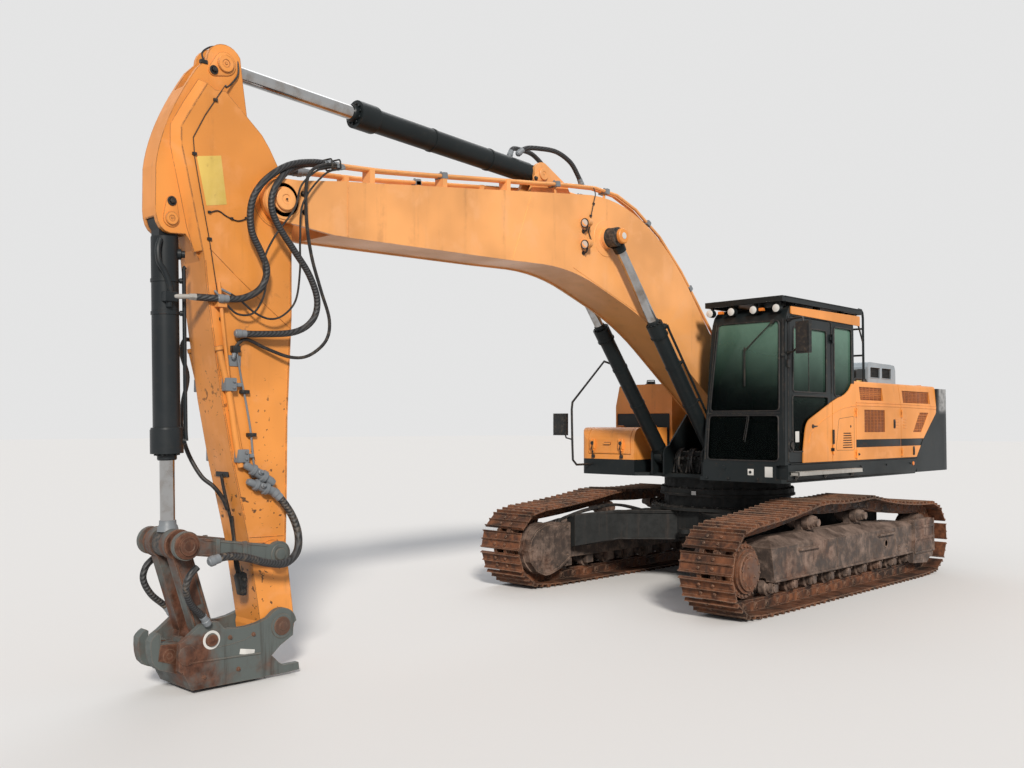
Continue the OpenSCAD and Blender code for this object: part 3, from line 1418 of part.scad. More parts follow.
module coupler() {
  half = coupler_w / 2;
  color(charcoal) {
    both()
      difference() {
        slab_y(half - coupler_plate, half) polygon(coupler_side);
        bar_y(lug_x, lug_z, pin_r + fit, 0, 300);
      }
    difference() {
      slab_y(-half, half)
        polygon([[6636, 145], [6654, coupler_z0], [7239, coupler_z0 + 8], [7310, 165], [7267, 230],
          [6705, 210]]);
      slab_y(-half + 40, half - 40) polygon([[6690, 60], [6690, 0], [7215, 0], [7215, 60]]);
    }
    // Lugs for the link
    both() bar_y(lug_x, lug_z, pin_r, 0, half + 16);
    bar_y(lug_x, lug_z, 80, -69, 69);
    slab_y(-69, 69) polygon([[6980, 200], [7210, 200], [7170, 380], [7020, 380]]);
    // Pin at the arm's end
    bar_y(nose_x, nose_z, pin_r, -half - 16, half + 16);
    both() bar_y(nose_x, nose_z, 88, half - 1, half + 10);
    // Jaws that take the tool's front pin
    both() slab_y(50, 130) polygon(jaw);
    // Latch plate between the jaws
    slab_x(7212, 7236)
      difference() {
        offset(r = 20) offset(delta = -20) polygon([[-66, 180], [66, 180], [66, 372], [-66, 372]]);
        offset(r = 24) offset(delta = -24) polygon([[-26, 240], [26, 240], [26, 335], [-26, 335]]);
      }
    // Rear ears for the tool's other pin
    both()
      slab_y(half - coupler_plate, half)
        polygon([[6700, 30], [6700, 160], [6600, 170], [6540, 110], [6500, 85], [6368, 85], [6360, 30],
          [6480, 24]]);
  }
}

// Everything, with the ground under the middle of the length
translate([slew_x, slew_y, 0]) {
  carbody();
  swing_ring();
  track_frame_left();
  track_frame_right();
  final_drive_left();
  final_drive_right();
  idler_left();
  idler_right();
  rollers_left();
  rollers_right();
  track_left();
  track_right();
  upper_frame();
  side_step();
  counterweight();
  engine();
  left_housing();
  right_housing();
  toolbox();
  toolbox_lid();
  side_door_front();
  side_door_rear();
  right_door();
  hood();
  hood_box();
  hood_duct();
  cab_shell();
  roof_trim();
  cab_glass();
  cab_guard();
  cab_interior();
  cab_door();
  door_panel();
  door_glass();
  mirrors();
  handrails();
  boom();
  boom_pipes();
  boom_ram_left();
  boom_ram_right();
  boom_rod_left();
  boom_rod_right();
  arm();
  arm_pipes();
  arm_ram();
  arm_rod();
  coupler_ram();
  coupler_rod();
  rocker();
  link();
  coupler();
}
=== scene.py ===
"""Looks of the tracked excavator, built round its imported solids.

Lengths are metres. Points are written from the slewing axis (x forward, y to the cab's side,
z up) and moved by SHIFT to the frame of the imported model.
"""
import json
import math
import random
from functools import cached_property

import bmesh
import bpy
from mathutils import Matrix, Vector


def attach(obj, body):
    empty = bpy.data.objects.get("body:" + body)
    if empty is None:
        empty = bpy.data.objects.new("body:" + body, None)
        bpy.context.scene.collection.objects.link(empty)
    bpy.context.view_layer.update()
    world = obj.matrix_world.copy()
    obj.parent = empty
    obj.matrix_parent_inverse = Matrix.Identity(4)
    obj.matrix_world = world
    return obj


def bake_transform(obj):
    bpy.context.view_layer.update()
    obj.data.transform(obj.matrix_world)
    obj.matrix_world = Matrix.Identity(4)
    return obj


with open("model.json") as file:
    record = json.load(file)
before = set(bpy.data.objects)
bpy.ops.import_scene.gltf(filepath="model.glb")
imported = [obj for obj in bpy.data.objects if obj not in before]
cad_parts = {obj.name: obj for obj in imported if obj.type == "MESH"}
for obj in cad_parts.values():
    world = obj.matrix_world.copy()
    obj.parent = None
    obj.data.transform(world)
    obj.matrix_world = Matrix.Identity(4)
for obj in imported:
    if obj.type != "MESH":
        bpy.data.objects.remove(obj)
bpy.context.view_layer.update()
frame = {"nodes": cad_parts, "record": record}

SHIFT = Vector((-1.93, -0.075, 0.0))
X, Y, Z = (1, 0, 0), (0, 1, 0), (0, 0, 1)
BOTH, SIDES = (1, -1), (("left", 1), ("right", -1))
FLOOR_REACH = 120.0
SHARP_ANGLE = 35

# Outer faces and middles, as y
SIDE, BOOM_SIDE, ARM_SIDE, COUPLER_SIDE, ROCKER_SIDE = 1.49, 0.252, 0.17, 0.23, 0.275
TRACK_Y, SEAT_Y = 1.37, 0.9765

# Pins of the working gear, as (x, z)
BOOM_FOOT, BOOM_RAM_FOOT, BOOM_RAM_HEAD = (0.24, 2.07), (0.84, 1.52), (2.69, 3.8)
ARM_PIN, ARM_RAM_FOOT, ARM_TOP = (6.565, 3.567), (3.486, 4.352), (6.978, 4.537)
COUPLER_RAM_FOOT, KNEE = (7.382, 3.327), (7.315, 1.038)
ROCKER_PIN, LINK_PIN, TIP_PIN = (6.575, 0.92), (7.095, 0.359), (6.521, 0.378)


def at(x, y, z):
    """A point given from the slewing axis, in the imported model's frame."""
    return Vector((x, y, z)) + SHIFT


# Camera and lamps

def put(name, data):
    """Adds an object to the scene."""
    made = bpy.data.objects.new(name, data)
    bpy.context.scene.collection.objects.link(made)
    return made


def set_camera():
    """The photo's view, as it was fitted to the machine's round ends and edges."""
    yaw, pitch, roll = math.radians(223.996), math.radians(2.331), math.radians(0.123)
    look = Vector((math.cos(pitch) * math.cos(yaw), math.cos(pitch) * math.sin(yaw),
        math.sin(pitch)))
    data = bpy.data.cameras.new("camera")
    data.sensor_width, data.lens, data.clip_end = 36.0, 35.284, 400
    camera = put("camera", data)
    camera.matrix_world = (Matrix.Translation(at(10.7625, 6.7084, 1.8776)) @ (
        look.to_track_quat("-Z", "Y").to_matrix() @ Matrix.Rotation(roll, 3, "Z")).to_4x4())
    bpy.context.scene.camera = camera


def far_lamp(name, source, power, width, colour=(1, 1, 1)):
    """Soft parallel light from a far source; width is how wide the source looks, in degrees."""
    data = bpy.data.lights.new(name, "SUN")
    data.energy, data.angle, data.color = power, math.radians(width), colour
    put(name, data).rotation_euler = (-Vector(source)).to_track_quat("-Z", "Y").to_euler()


# Materials, written as expressions on sockets

class Signal:
    """A shader socket that Python's operators work on."""

    def __init__(self, paint, socket):
        self.paint, self.socket = paint, socket

    def __add__(self, other):
        return self.paint.sum("ADD", self, other)

    def __sub__(self, other):
        return self.paint.sum("SUBTRACT", self, other)

    def __rsub__(self, other):
        return self.paint.sum("SUBTRACT", other, self)

    def __mul__(self, other):
        return self.paint.sum("MULTIPLY", self, other)

    def max(self, other):
        return self.paint.sum("MAXIMUM", self, other)

    def ramp(self, low, high, to_low=0.0, to_high=1.0):
        """Maps low..high to to_low..to_high, smoothly and without going beyond."""
        return self.paint.node("MapRange", {"interpolation_type": "SMOOTHSTEP"},
            {"Value": self, "From Min": low, "From Max": high, "To Min": to_low, "To Max": to_high})

    __radd__ = __add__
    __rmul__ = __mul__


class Paint:
    """A material, or the world, whose nodes are written as expressions."""

    def __init__(self, name, owner=None):
        self.material = owner or bpy.data.materials.new(name)
        self.material.use_nodes = True
        self.tree = self.material.node_tree
        self.tree.nodes.clear()

    @cached_property
    def place(self):
        return self.node("TexCoord", out="Object")

    def node(self, kind, settings=None, sockets=None, out=0):
        made = self.tree.nodes.new("ShaderNode" + kind)
        for key, value in (settings or {}).items():
            setattr(made, key, value)
        for key, value in (sockets or {}).items():
            if isinstance(value, Signal):
                self.tree.links.new(value.socket, made.inputs[key])
            else:
                made.inputs[key].default_value = value
        return Signal(self, made.outputs[out]) if made.outputs else None

    def sum(self, operation, a, b):
        return self.node("Math", {"operation": operation}, {0: a, 1: b})

    def noise(self, scale, detail=4.0, rough=0.55, stretch=None, warp=0.0):
        where = self.place if stretch is None else self.node(
            "VectorMath", {"operation": "MULTIPLY"}, {0: self.place, 1: stretch})
        return self.node("TexNoise", None, {"Vector": where, "Scale": scale, "Detail": detail,
            "Roughness": rough, "Distortion": warp})

    def mix(self, share, a, b):
        """Colour a where share is 0 and b where it is 1."""
        return self.node("Mix", {"data_type": "RGBA"}, {0: share, 6: a, 7: b}, out=2)

    def along(self, axis):
        """Distance along axis 0, 1 or 2, measured from the slewing axis on the ground."""
        return self.node("SeparateXYZ", None, {0: self.place}, out=axis) - SHIFT[axis]

    def facing_up(self):
        return self.node("SeparateXYZ", None, {0: self.node("NewGeometry", out="Normal")}, out=2)

    def near(self, x, z, reach):
        """1 within reach of the line along y through x, z."""
        dx, dz = self.along(0) - x, self.along(2) - z
        return (dx * dx + dz * dz).ramp((reach + 0.004) ** 2, reach ** 2)

    def edges(self, radius):
        """1 along the edges of a body, 0 on its flats."""
        true = self.node("NewGeometry", out="Normal")
        soft = self.node("Bevel", {"samples": 4}, {"Radius": radius})
        same = self.node("VectorMath", {"operation": "DOT_PRODUCT"},
            {0: true, 1: soft}, out="Value")
        return same.ramp(0.995, 0.9)

    def bump(self, height, strength, distance=0.01):
        return self.node("Bump", None, {"Height": height, "Strength": strength,
            "Distance": distance})

    def seen(self):
        """1 for what the camera sees, straight, mirrored or through glass, and 0 for the light."""
        kinds = ("Camera", "Glossy", "Transmission")
        rays = [self.node("LightPath", out="Is %s Ray" % kind) for kind in kinds]
        return rays[0].max(rays[1]).max(rays[2])

    def surface(self, sockets):
        shader = self.node("BsdfPrincipled", None, sockets)
        self.node("OutputMaterial", None, {"Surface": shader})
        return self.material


def rgb(r, g, b):
    return (r, g, b, 1.0)


RUST = rgb(0.105, 0.036, 0.016)
DUST = rgb(0.3, 0.225, 0.155)
GRIME = rgb(0.028, 0.021, 0.016)


def machine_paint(name, colour, worn=0.35, dusty=0.25, gloss=0.38, low=1.0, chip=RUST, shine=0.5,
        faded=None, flaked=0.0):
    """Sprayed paint with faded patches, dust, runs of grime, chipped edges and scratches."""
    p = Paint(name)
    broad = p.noise(0.9, 3.0)
    patch = p.noise(3.2, 4.0, 0.6, warp=0.4)
    fine = p.noise(11.0, 6.0, 0.62)
    speck = p.noise(70.0, 5.0, 0.7)
    streak = p.noise(1.0, 4.0, 0.6, stretch=(9.0, 9.0, 0.55))
    deep = [c * 0.72 for c in colour[:3]] + [1.0]
    lift = 0.085 * min(1.0, 0.08 + 1.6 * max(colour[:3]))
    pale = [c * 0.85 + lift for c in colour[:3]] + [1.0]
    base = p.mix(broad.ramp(0.35, 0.68), colour, deep)
    base = p.mix(patch.ramp(0.52, 0.72) * (0.35 + 0.3 * dusty), base, pale)
    if faded:
        base = p.mix(faded(p) * fine.ramp(0.2, 0.6), base, rgb(0.34, 0.34, 0.34))
    base = p.mix((streak.ramp(0.54, 0.74) * fine.ramp(0.3, 0.7)) * (0.6 * dusty + 0.1), base, GRIME)
    up = p.facing_up().ramp(0.55, 0.98)
    dust = (up * fine.ramp(0.25, 0.7) * (0.5 * dusty)) + fine.ramp(0.52, 0.8) * (0.2 * dusty)
    base = p.mix(dust, base, DUST)
    edge = p.edges(0.012) * fine.ramp(0.62 - 0.3 * worn, 0.78 - 0.3 * worn)
    scuff = p.noise(5.0, 8.0, 0.72, stretch=(1.0, 1.0, 3.5), warp=0.6)
    scuff = scuff.ramp(0.725 - 0.06 * worn, 0.74 - 0.06 * worn)
    near_ground = p.along(2).ramp(low + 1.2, low, 0.12, 1.0)
    bare = (edge * (0.55 * worn + 0.25)).max(scuff * speck.ramp(0.3, 0.5) * near_ground * worn)
    if flaked:
        chips = (p.noise(24.0, 5.0, 0.6) + p.noise(3.0, 3.0, 0.5) * 0.5).ramp(0.9, 0.925)
        bare = bare.max(chips * p.along(2).ramp(3.3, 1.4, 0.0, flaked))
    base = p.mix(bare, base, chip)
    return p.surface({"Base Color": base,
        "Roughness": broad.ramp(0.3, 0.7, gloss - 0.05, gloss + 0.1) + dust * 0.5 + bare * 0.2,
        "Normal": p.bump(fine * 0.25 + speck * 0.1, 0.12, 0.004), "Specular IOR Level": shine})


def caked_metal(name, clean, mud=0.6, rust=0.5, gloss=0.6, edge_shine=0.5,
        pale=rgb(0.27, 0.205, 0.165), dark=rgb(0.075, 0.052, 0.042), red=rgb(0.23, 0.088, 0.04)):
    """Bare or once painted steel with rust, dried mud in patches and runs, and rubbed edges."""
    p = Paint(name)
    broad = p.noise(1.6, 4.0)
    patch = p.noise(4.5, 5.0, 0.65, warp=0.5)
    fine = p.noise(14.0, 8.0, 0.66)
    grit = p.noise(95.0, 6.0, 0.75)
    runs = p.noise(1.0, 5.0, 0.6, stretch=(16.0, 16.0, 1.2))
    rusty = p.mix(fine.ramp(0.3, 0.7), rgb(0.055, 0.022, 0.013), red)
    base = p.mix((broad + patch * 0.6).ramp(1.05 - 0.55 * rust, 1.25 - 0.5 * rust), clean, rusty)
    dirt = p.mix((grit * 0.4 + patch * 0.6).ramp(0.35, 0.65), dark, pale)
    cover = fine * 0.6 + patch * 0.4 + p.facing_up().ramp(0.2, 1.0) * 0.14
    cover = cover.ramp(0.7 - 0.42 * mud, 0.9 - 0.4 * mud)
    base = p.mix(cover * 0.85, base, dirt)
    base = p.mix(runs.ramp(0.52, 0.72) * 0.55, base, rgb(0.035, 0.025, 0.02))
    rub = p.edges(0.01) * grit.ramp(0.3, 0.6)
    base = p.mix(rub * edge_shine, base, rgb(0.36, 0.235, 0.165))
    return p.surface({"Base Color": base, "Metallic": rub * (0.5 * edge_shine),
        "Roughness": fine.ramp(0.3, 0.7, gloss - 0.08, gloss + 0.22),
        "Normal": p.bump(fine * 0.6 + grit * 0.25 + cover * 0.4, 0.35, 0.006),
        "Specular IOR Level": 0.3})


def rod_chrome(name, eye=None, reach=0.14):
    """Chrome with oil and dust on it, and a painted cast eye round its pin."""
    p = Paint(name)
    film = p.noise(7.0, 5.0, 0.6)
    fine = p.noise(30.0, 6.0, 0.65)
    cast = p.near(eye[0], eye[1], reach) if eye else 0.0
    bright = p.mix(film.ramp(0.4, 0.75), rgb(0.42, 0.42, 0.42), rgb(0.27, 0.235, 0.205))
    dull = p.mix(fine.ramp(0.4, 0.7), rgb(0.016, 0.019, 0.02), rgb(0.12, 0.09, 0.07))
    return p.surface({"Base Color": p.mix(cast, bright, dull),
        "Metallic": 1.0 - cast if eye else 1.0,
        "Roughness": film.ramp(0.35, 0.75, 0.08, 0.26) + (cast * 0.45 if eye else 0.0)})


def glazing():
    """Green tinted safety glass with a film of dirt, and a painted reflection that makes it paler
    and milkier towards the top.
    """
    p = Paint("cab_glass")
    film = p.noise(2.2, 5.0, 0.6, warp=0.8)
    fine = p.noise(26.0, 5.0, 0.65)
    # Painted reflection: the glass turns paler and less clear higher up and towards +y, in noisy
    # patches
    painted_reflection = (p.along(2) + film * 0.35 + p.along(1) * 0.25).ramp(2.45, 3.55)
    clear = p.node("BsdfTransparent", None, {"Color": rgb(0.3, 0.39, 0.35)})
    shine = p.node("BsdfPrincipled", None, {
        "Base Color": p.mix(painted_reflection, rgb(0.012, 0.022, 0.022), rgb(0.2, 0.37, 0.28)),
        "Roughness": film.ramp(0.3, 0.8, 0.02, 0.1), "Specular IOR Level": 0.35})
    lean = p.node("Fresnel", None, {"IOR": 1.45})
    share = lean * 0.8 + painted_reflection * 0.45 + fine.ramp(0.5, 0.8) * 0.05 + 0.04
    mixed = p.node("MixShader", None, {0: share, 1: clear, 2: shine})
    p.node("OutputMaterial", None, {"Surface": mixed})
    return p.material


def moulded(name, colour, gloss=0.5, dusty=0.2):
    """Rubber or moulded plastic with a light film of dust."""
    p = Paint(name)
    fine = p.noise(30.0, 5.0, 0.6)
    broad = p.noise(4.0, 4.0, 0.6)
    dust = fine.ramp(0.45, 0.8) * dusty + broad.ramp(0.5, 0.8) * (0.5 * dusty)
    return p.surface({"Base Color": p.mix(dust, colour, DUST),
        "Roughness": fine.ramp(0.3, 0.7, gloss - 0.06, gloss + 0.12),
        "Normal": p.bump(fine, 0.15, 0.002), "Specular IOR Level": 0.35})


def ribbed_hose(name, muddy=0.18):
    """Rubber hose in a spiral guard, its turns 12 mm apart."""
    p = Paint(name)
    wave = p.node("TexWave", {"wave_type": "BANDS", "bands_direction": "DIAGONAL"},
        {"Vector": p.place, "Scale": 22.0, "Distortion": 0.6, "Detail": 1.0})
    fine = p.noise(30.0, 5.0, 0.6)
    broad = p.noise(3.0, 4.0, 0.6)
    tone = p.mix(wave, rgb(0.01, 0.01, 0.011), rgb(0.045, 0.046, 0.049))
    dirt = fine.ramp(0.45, 0.75) * broad.ramp(0.4, 0.7) * muddy
    return p.surface({"Base Color": p.mix(dirt, tone, DUST),
        "Roughness": fine.ramp(0.3, 0.7, 0.42, 0.62),
        "Normal": p.bump(wave + fine * 0.2, 0.6, 0.004), "Specular IOR Level": 0.35})


def weathered_top(p):
    """Where the counterweight's upper corner has gone grey."""
    return p.along(2).ramp(2.02, 2.12) * p.along(0).ramp(-2.83, -2.9)


ORANGE = machine_paint("orange_paint", rgb(0.88, 0.33, 0.065))
# A paler, yellower copy of the orange paint for the boom: painted light, with the boom's brightly
# lit side put into its colour
LIT_BOOM_ORANGE = machine_paint("lit_boom_orange_paint", rgb(0.93, 0.42, 0.14), worn=0.3)
WORN_ORANGE = machine_paint("worn_orange_paint", rgb(0.88, 0.33, 0.065), worn=0.95, dusty=0.3,
    low=0.9, chip=rgb(0.05, 0.028, 0.016), flaked=0.9)
CHARCOAL = machine_paint("charcoal_paint", rgb(0.0115, 0.0155, 0.017), worn=0.25, dusty=0.16,
    gloss=0.4, shine=0.2)
WEIGHT = machine_paint("weight_paint", rgb(0.014, 0.018, 0.02), worn=0.3, dusty=0.25, gloss=0.5,
    shine=0.25, faded=weathered_top)
RAM_GREY = machine_paint("ram_paint", rgb(0.014, 0.018, 0.021), worn=0.2, dusty=0.18,
    gloss=0.38, shine=0.25)
FRAME = caked_metal("muddy_frame", rgb(0.06, 0.046, 0.04), mud=0.75, rust=0.45,
    pale=rgb(0.29, 0.21, 0.17), dark=rgb(0.065, 0.042, 0.032))
UNDER = caked_metal("undercarriage_paint", rgb(0.01, 0.011, 0.011), mud=0.3, rust=0.05,
    edge_shine=0.08, pale=rgb(0.06, 0.05, 0.043), dark=rgb(0.018, 0.015, 0.013))
TRACK = caked_metal("rusty_track", rgb(0.025, 0.014, 0.01), mud=0.22, rust=0.75, edge_shine=0.95,
    pale=rgb(0.13, 0.075, 0.05), dark=rgb(0.02, 0.012, 0.009))
DISC = caked_metal("rusty_cover", rgb(0.13, 0.08, 0.062), mud=0.45, rust=0.8,
    pale=rgb(0.21, 0.14, 0.105), dark=rgb(0.05, 0.03, 0.022))
TOOL = caked_metal("coupler_steel", rgb(0.105, 0.12, 0.115), mud=0.1, rust=0.46, gloss=0.5,
    edge_shine=0.35, red=rgb(0.15, 0.062, 0.036))
RUSTED = caked_metal("rusted_steel", rgb(0.1, 0.06, 0.045), mud=0.2, rust=0.9, gloss=0.6,
    edge_shine=0.4, red=rgb(0.16, 0.068, 0.04))
GREY = machine_paint("grey_steel", rgb(0.21, 0.23, 0.25), worn=0.3, dusty=0.3, gloss=0.42)
ALLOY = machine_paint("alloy_step", rgb(0.42, 0.4, 0.37), worn=0.5, dusty=0.5,
    gloss=0.4, chip=GRIME)
BOX_BLUE = machine_paint("filter_box_paint", rgb(0.36, 0.42, 0.47), worn=0.2, dusty=0.25, gloss=0.4)
YELLOW = machine_paint("yellow_plate", rgb(0.86, 0.6, 0.14), worn=0.1, dusty=0.2, gloss=0.4)
WHITE = machine_paint("white_plate", rgb(0.72, 0.71, 0.68), worn=0.1, dusty=0.3, gloss=0.4)
CHROME = rod_chrome("chrome_rod")
BOOM_ROD = rod_chrome("boom_rod_chrome", BOOM_RAM_HEAD, 0.15)
ARM_ROD = rod_chrome("arm_rod_chrome", ARM_TOP, 0.14)
COUPLER_ROD = rod_chrome("coupler_rod_chrome", KNEE, 0.13)
MIRROR = rod_chrome("mirror_silver")
GLASS = glazing()
PLASTIC = moulded("black_plastic", rgb(0.012, 0.013, 0.014))
RUBBER = moulded("hose_rubber", rgb(0.014, 0.014, 0.015), gloss=0.5)
HOSE = ribbed_hose("wrapped_hose")
MUDDY_HOSE = ribbed_hose("muddy_hose", 0.75)
LENS = moulded("lamp_lens", rgb(0.62, 0.62, 0.6), gloss=0.18, dusty=0.15)
AMBER = moulded("amber_lens", rgb(0.75, 0.2, 0.02), gloss=0.2, dusty=0.15)
MESH = machine_paint("grille_mesh", rgb(0.34, 0.1, 0.025), worn=0.4, dusty=0.5, gloss=0.5)
BY_SLOT = {"orange_paint": ORANGE, "charcoal_paint": CHARCOAL, "weight_paint": WEIGHT,
           "undercarriage_paint": UNDER, "rusty_track": TRACK, "muddy_frame": FRAME,
           "chrome_rod": CHROME, "coupler_steel": TOOL, "grey_steel": GREY, "cab_glass": GLASS,
           "black_plastic": PLASTIC}
OWN_FINISH = {"arm": WORN_ORANGE, "boom": LIT_BOOM_ORANGE, "boom_pipes": LIT_BOOM_ORANGE,
    "coupler_ram": RAM_GREY, "boom_rod_left": BOOM_ROD, "boom_rod_right": BOOM_ROD,
    "arm_rod": ARM_ROD, "coupler_rod": COUPLER_ROD, "side_step": ALLOY, "hood_box": BOX_BLUE,
    "final_drive_left": DISC, "final_drive_right": DISC}


def finish_solids():
    """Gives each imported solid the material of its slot, or its own."""
    for part in frame["record"]["subparts"]:
        name = part["node"]
        wear(frame["nodes"][name], OWN_FINISH.get(name, BY_SLOT[part["material_slot"]]))


def wear(obj, material):
    if not obj.material_slots:
        obj.data.materials.append(material)
    for held in obj.material_slots:
        held.material = material


# Shapes. A Piece gathers faces of one finish on one body, in metres from the slewing axis.

def unit(v):
    """The direction of v, one long."""
    return Vector(v).normalized()


def square_to(way):
    """Two directions square to way and to each other."""
    side = unit(way).orthogonal().normalized()
    return side, unit(way).cross(side)


def circle(middle, side, up, radius, count, start=0.0):
    """Points spaced evenly round a middle, in the plane of side and up."""
    return [Vector(middle) + side * (math.cos(a) * radius) + up * (math.sin(a) * radius)
            for a in (start + 2 * math.pi * k / count for k in range(count))]


def left_of(way):
    """A flat direction turned left by a right angle."""
    return Vector((-way.y, way.x))


def bend(corners, radius=0.05, steps=4):
    """A path with its corners rounded."""
    points = [Vector(c) for c in corners]
    path = [points[0]]
    for before, corner, after in zip(points, points[1:], points[2:]):
        back, ahead = before - corner, after - corner
        cut = min(radius, back.length * 0.48, ahead.length * 0.48)
        a, b = corner + back.normalized() * cut, corner + ahead.normalized() * cut
        for i in range(steps + 1):
            t = i / steps
            path.append(a * (1 - t) ** 2 + corner * (2 * t * (1 - t)) + b * t ** 2)
    return path + [points[-1]]


def handle(x, ends, heights, radius, steps=4):
    """A bail across the machine, from one foot up, over and down to the other."""
    (a, b), (low, high) = ends, heights
    return bend([(x, a, low), (x, a, high), (x, b, high), (x, b, low)], radius, steps)


def curve_through(points, steps=6):
    """A smooth path through all the points."""
    pts = [Vector(p) for p in points]
    ends = [pts[0] * 2 - pts[1]] + pts + [pts[-1] * 2 - pts[-2]]
    path = []
    for a, b, c, d in zip(ends, ends[1:], ends[2:], ends[3:]):
        for i in range(steps):
            t = i / steps
            path.append((b * 2 + (c - a) * t + (a * 2 - b * 5 + c * 4 - d) * t ** 2 + (
                b * 3 - a - c * 3 + d) * t ** 3) * 0.5)
    return path + [pts[-1]]


def on(pin, y):
    """The point at y on the line of a pin given as (x, z)."""
    return (pin[0], y, pin[1])


def heading(a, b):
    """The direction from one pin to another."""
    return unit((b[0] - a[0], 0, b[1] - a[1]))


def about(middle, half):
    """The two limits of a width around its middle."""
    return (middle - half, middle + half)


def in_plane(y, points):
    """Points given as (x, z), all at one y."""
    return [(x, y, z) for x, z in points]


def sheet(across, along, radius=0.0):
    """A rectangle between two pairs, its corners rounded by radius."""
    (a, b), (c, d) = across, along
    corners = [(a, c), (b, c), (b, d), (a, d)]
    return rounded(corners, radius) if radius else corners


def inset(outline, by):
    """The outline pulled in by a small distance."""
    area = sum(a[0] * b[1] - b[0] * a[1] for a, b in zip(outline, outline[1:] + outline[:1]))
    turn = 1 if area > 0 else -1
    pulled = []
    for i in range(len(outline)):
        a, b, c = (Vector(outline[k % len(outline)]) for k in (i - 1, i, i + 1))
        u, v = (b - a).normalized(), (c - b).normalized()
        m, w = Vector((-u.y, u.x)) * turn, Vector((-v.y, v.x)) * turn
        pulled.append(tuple(b + (m + w) * (by / max(1 + m.dot(w), 0.35))))
    return pulled


def rounded(outline, radius, steps=4):
    """A flat outline with its corners rounded."""
    middle = tuple((Vector(outline[0]) + Vector(outline[-1])) / 2)
    path = bend([(*middle, 0)] + [(*p, 0) for p in outline] + [(*middle, 0)], radius, steps)
    return [(p.x, p.y) for p in path[1:]]


def arc(x, z, r, a0, a1, n=12):
    """Points along an arc, its angles in degrees."""
    return [(x + r * math.cos(math.radians(a0 + (a1 - a0) * i / n)),
             z + r * math.sin(math.radians(a0 + (a1 - a0) * i / n))) for i in range(n + 1)]


def teardrop(a, ra, b, rb, n=10):
    """Outline round two circles."""
    ax, bx = Vector(a), Vector(b)
    turn = math.degrees(math.atan2(bx.y - ax.y, bx.x - ax.x))
    lean = math.degrees(math.acos((ra - rb) / (bx - ax).length))
    return arc(*a, ra, turn + lean, turn + 360 - lean, n) + arc(*b, rb, turn - lean, turn + lean, n)


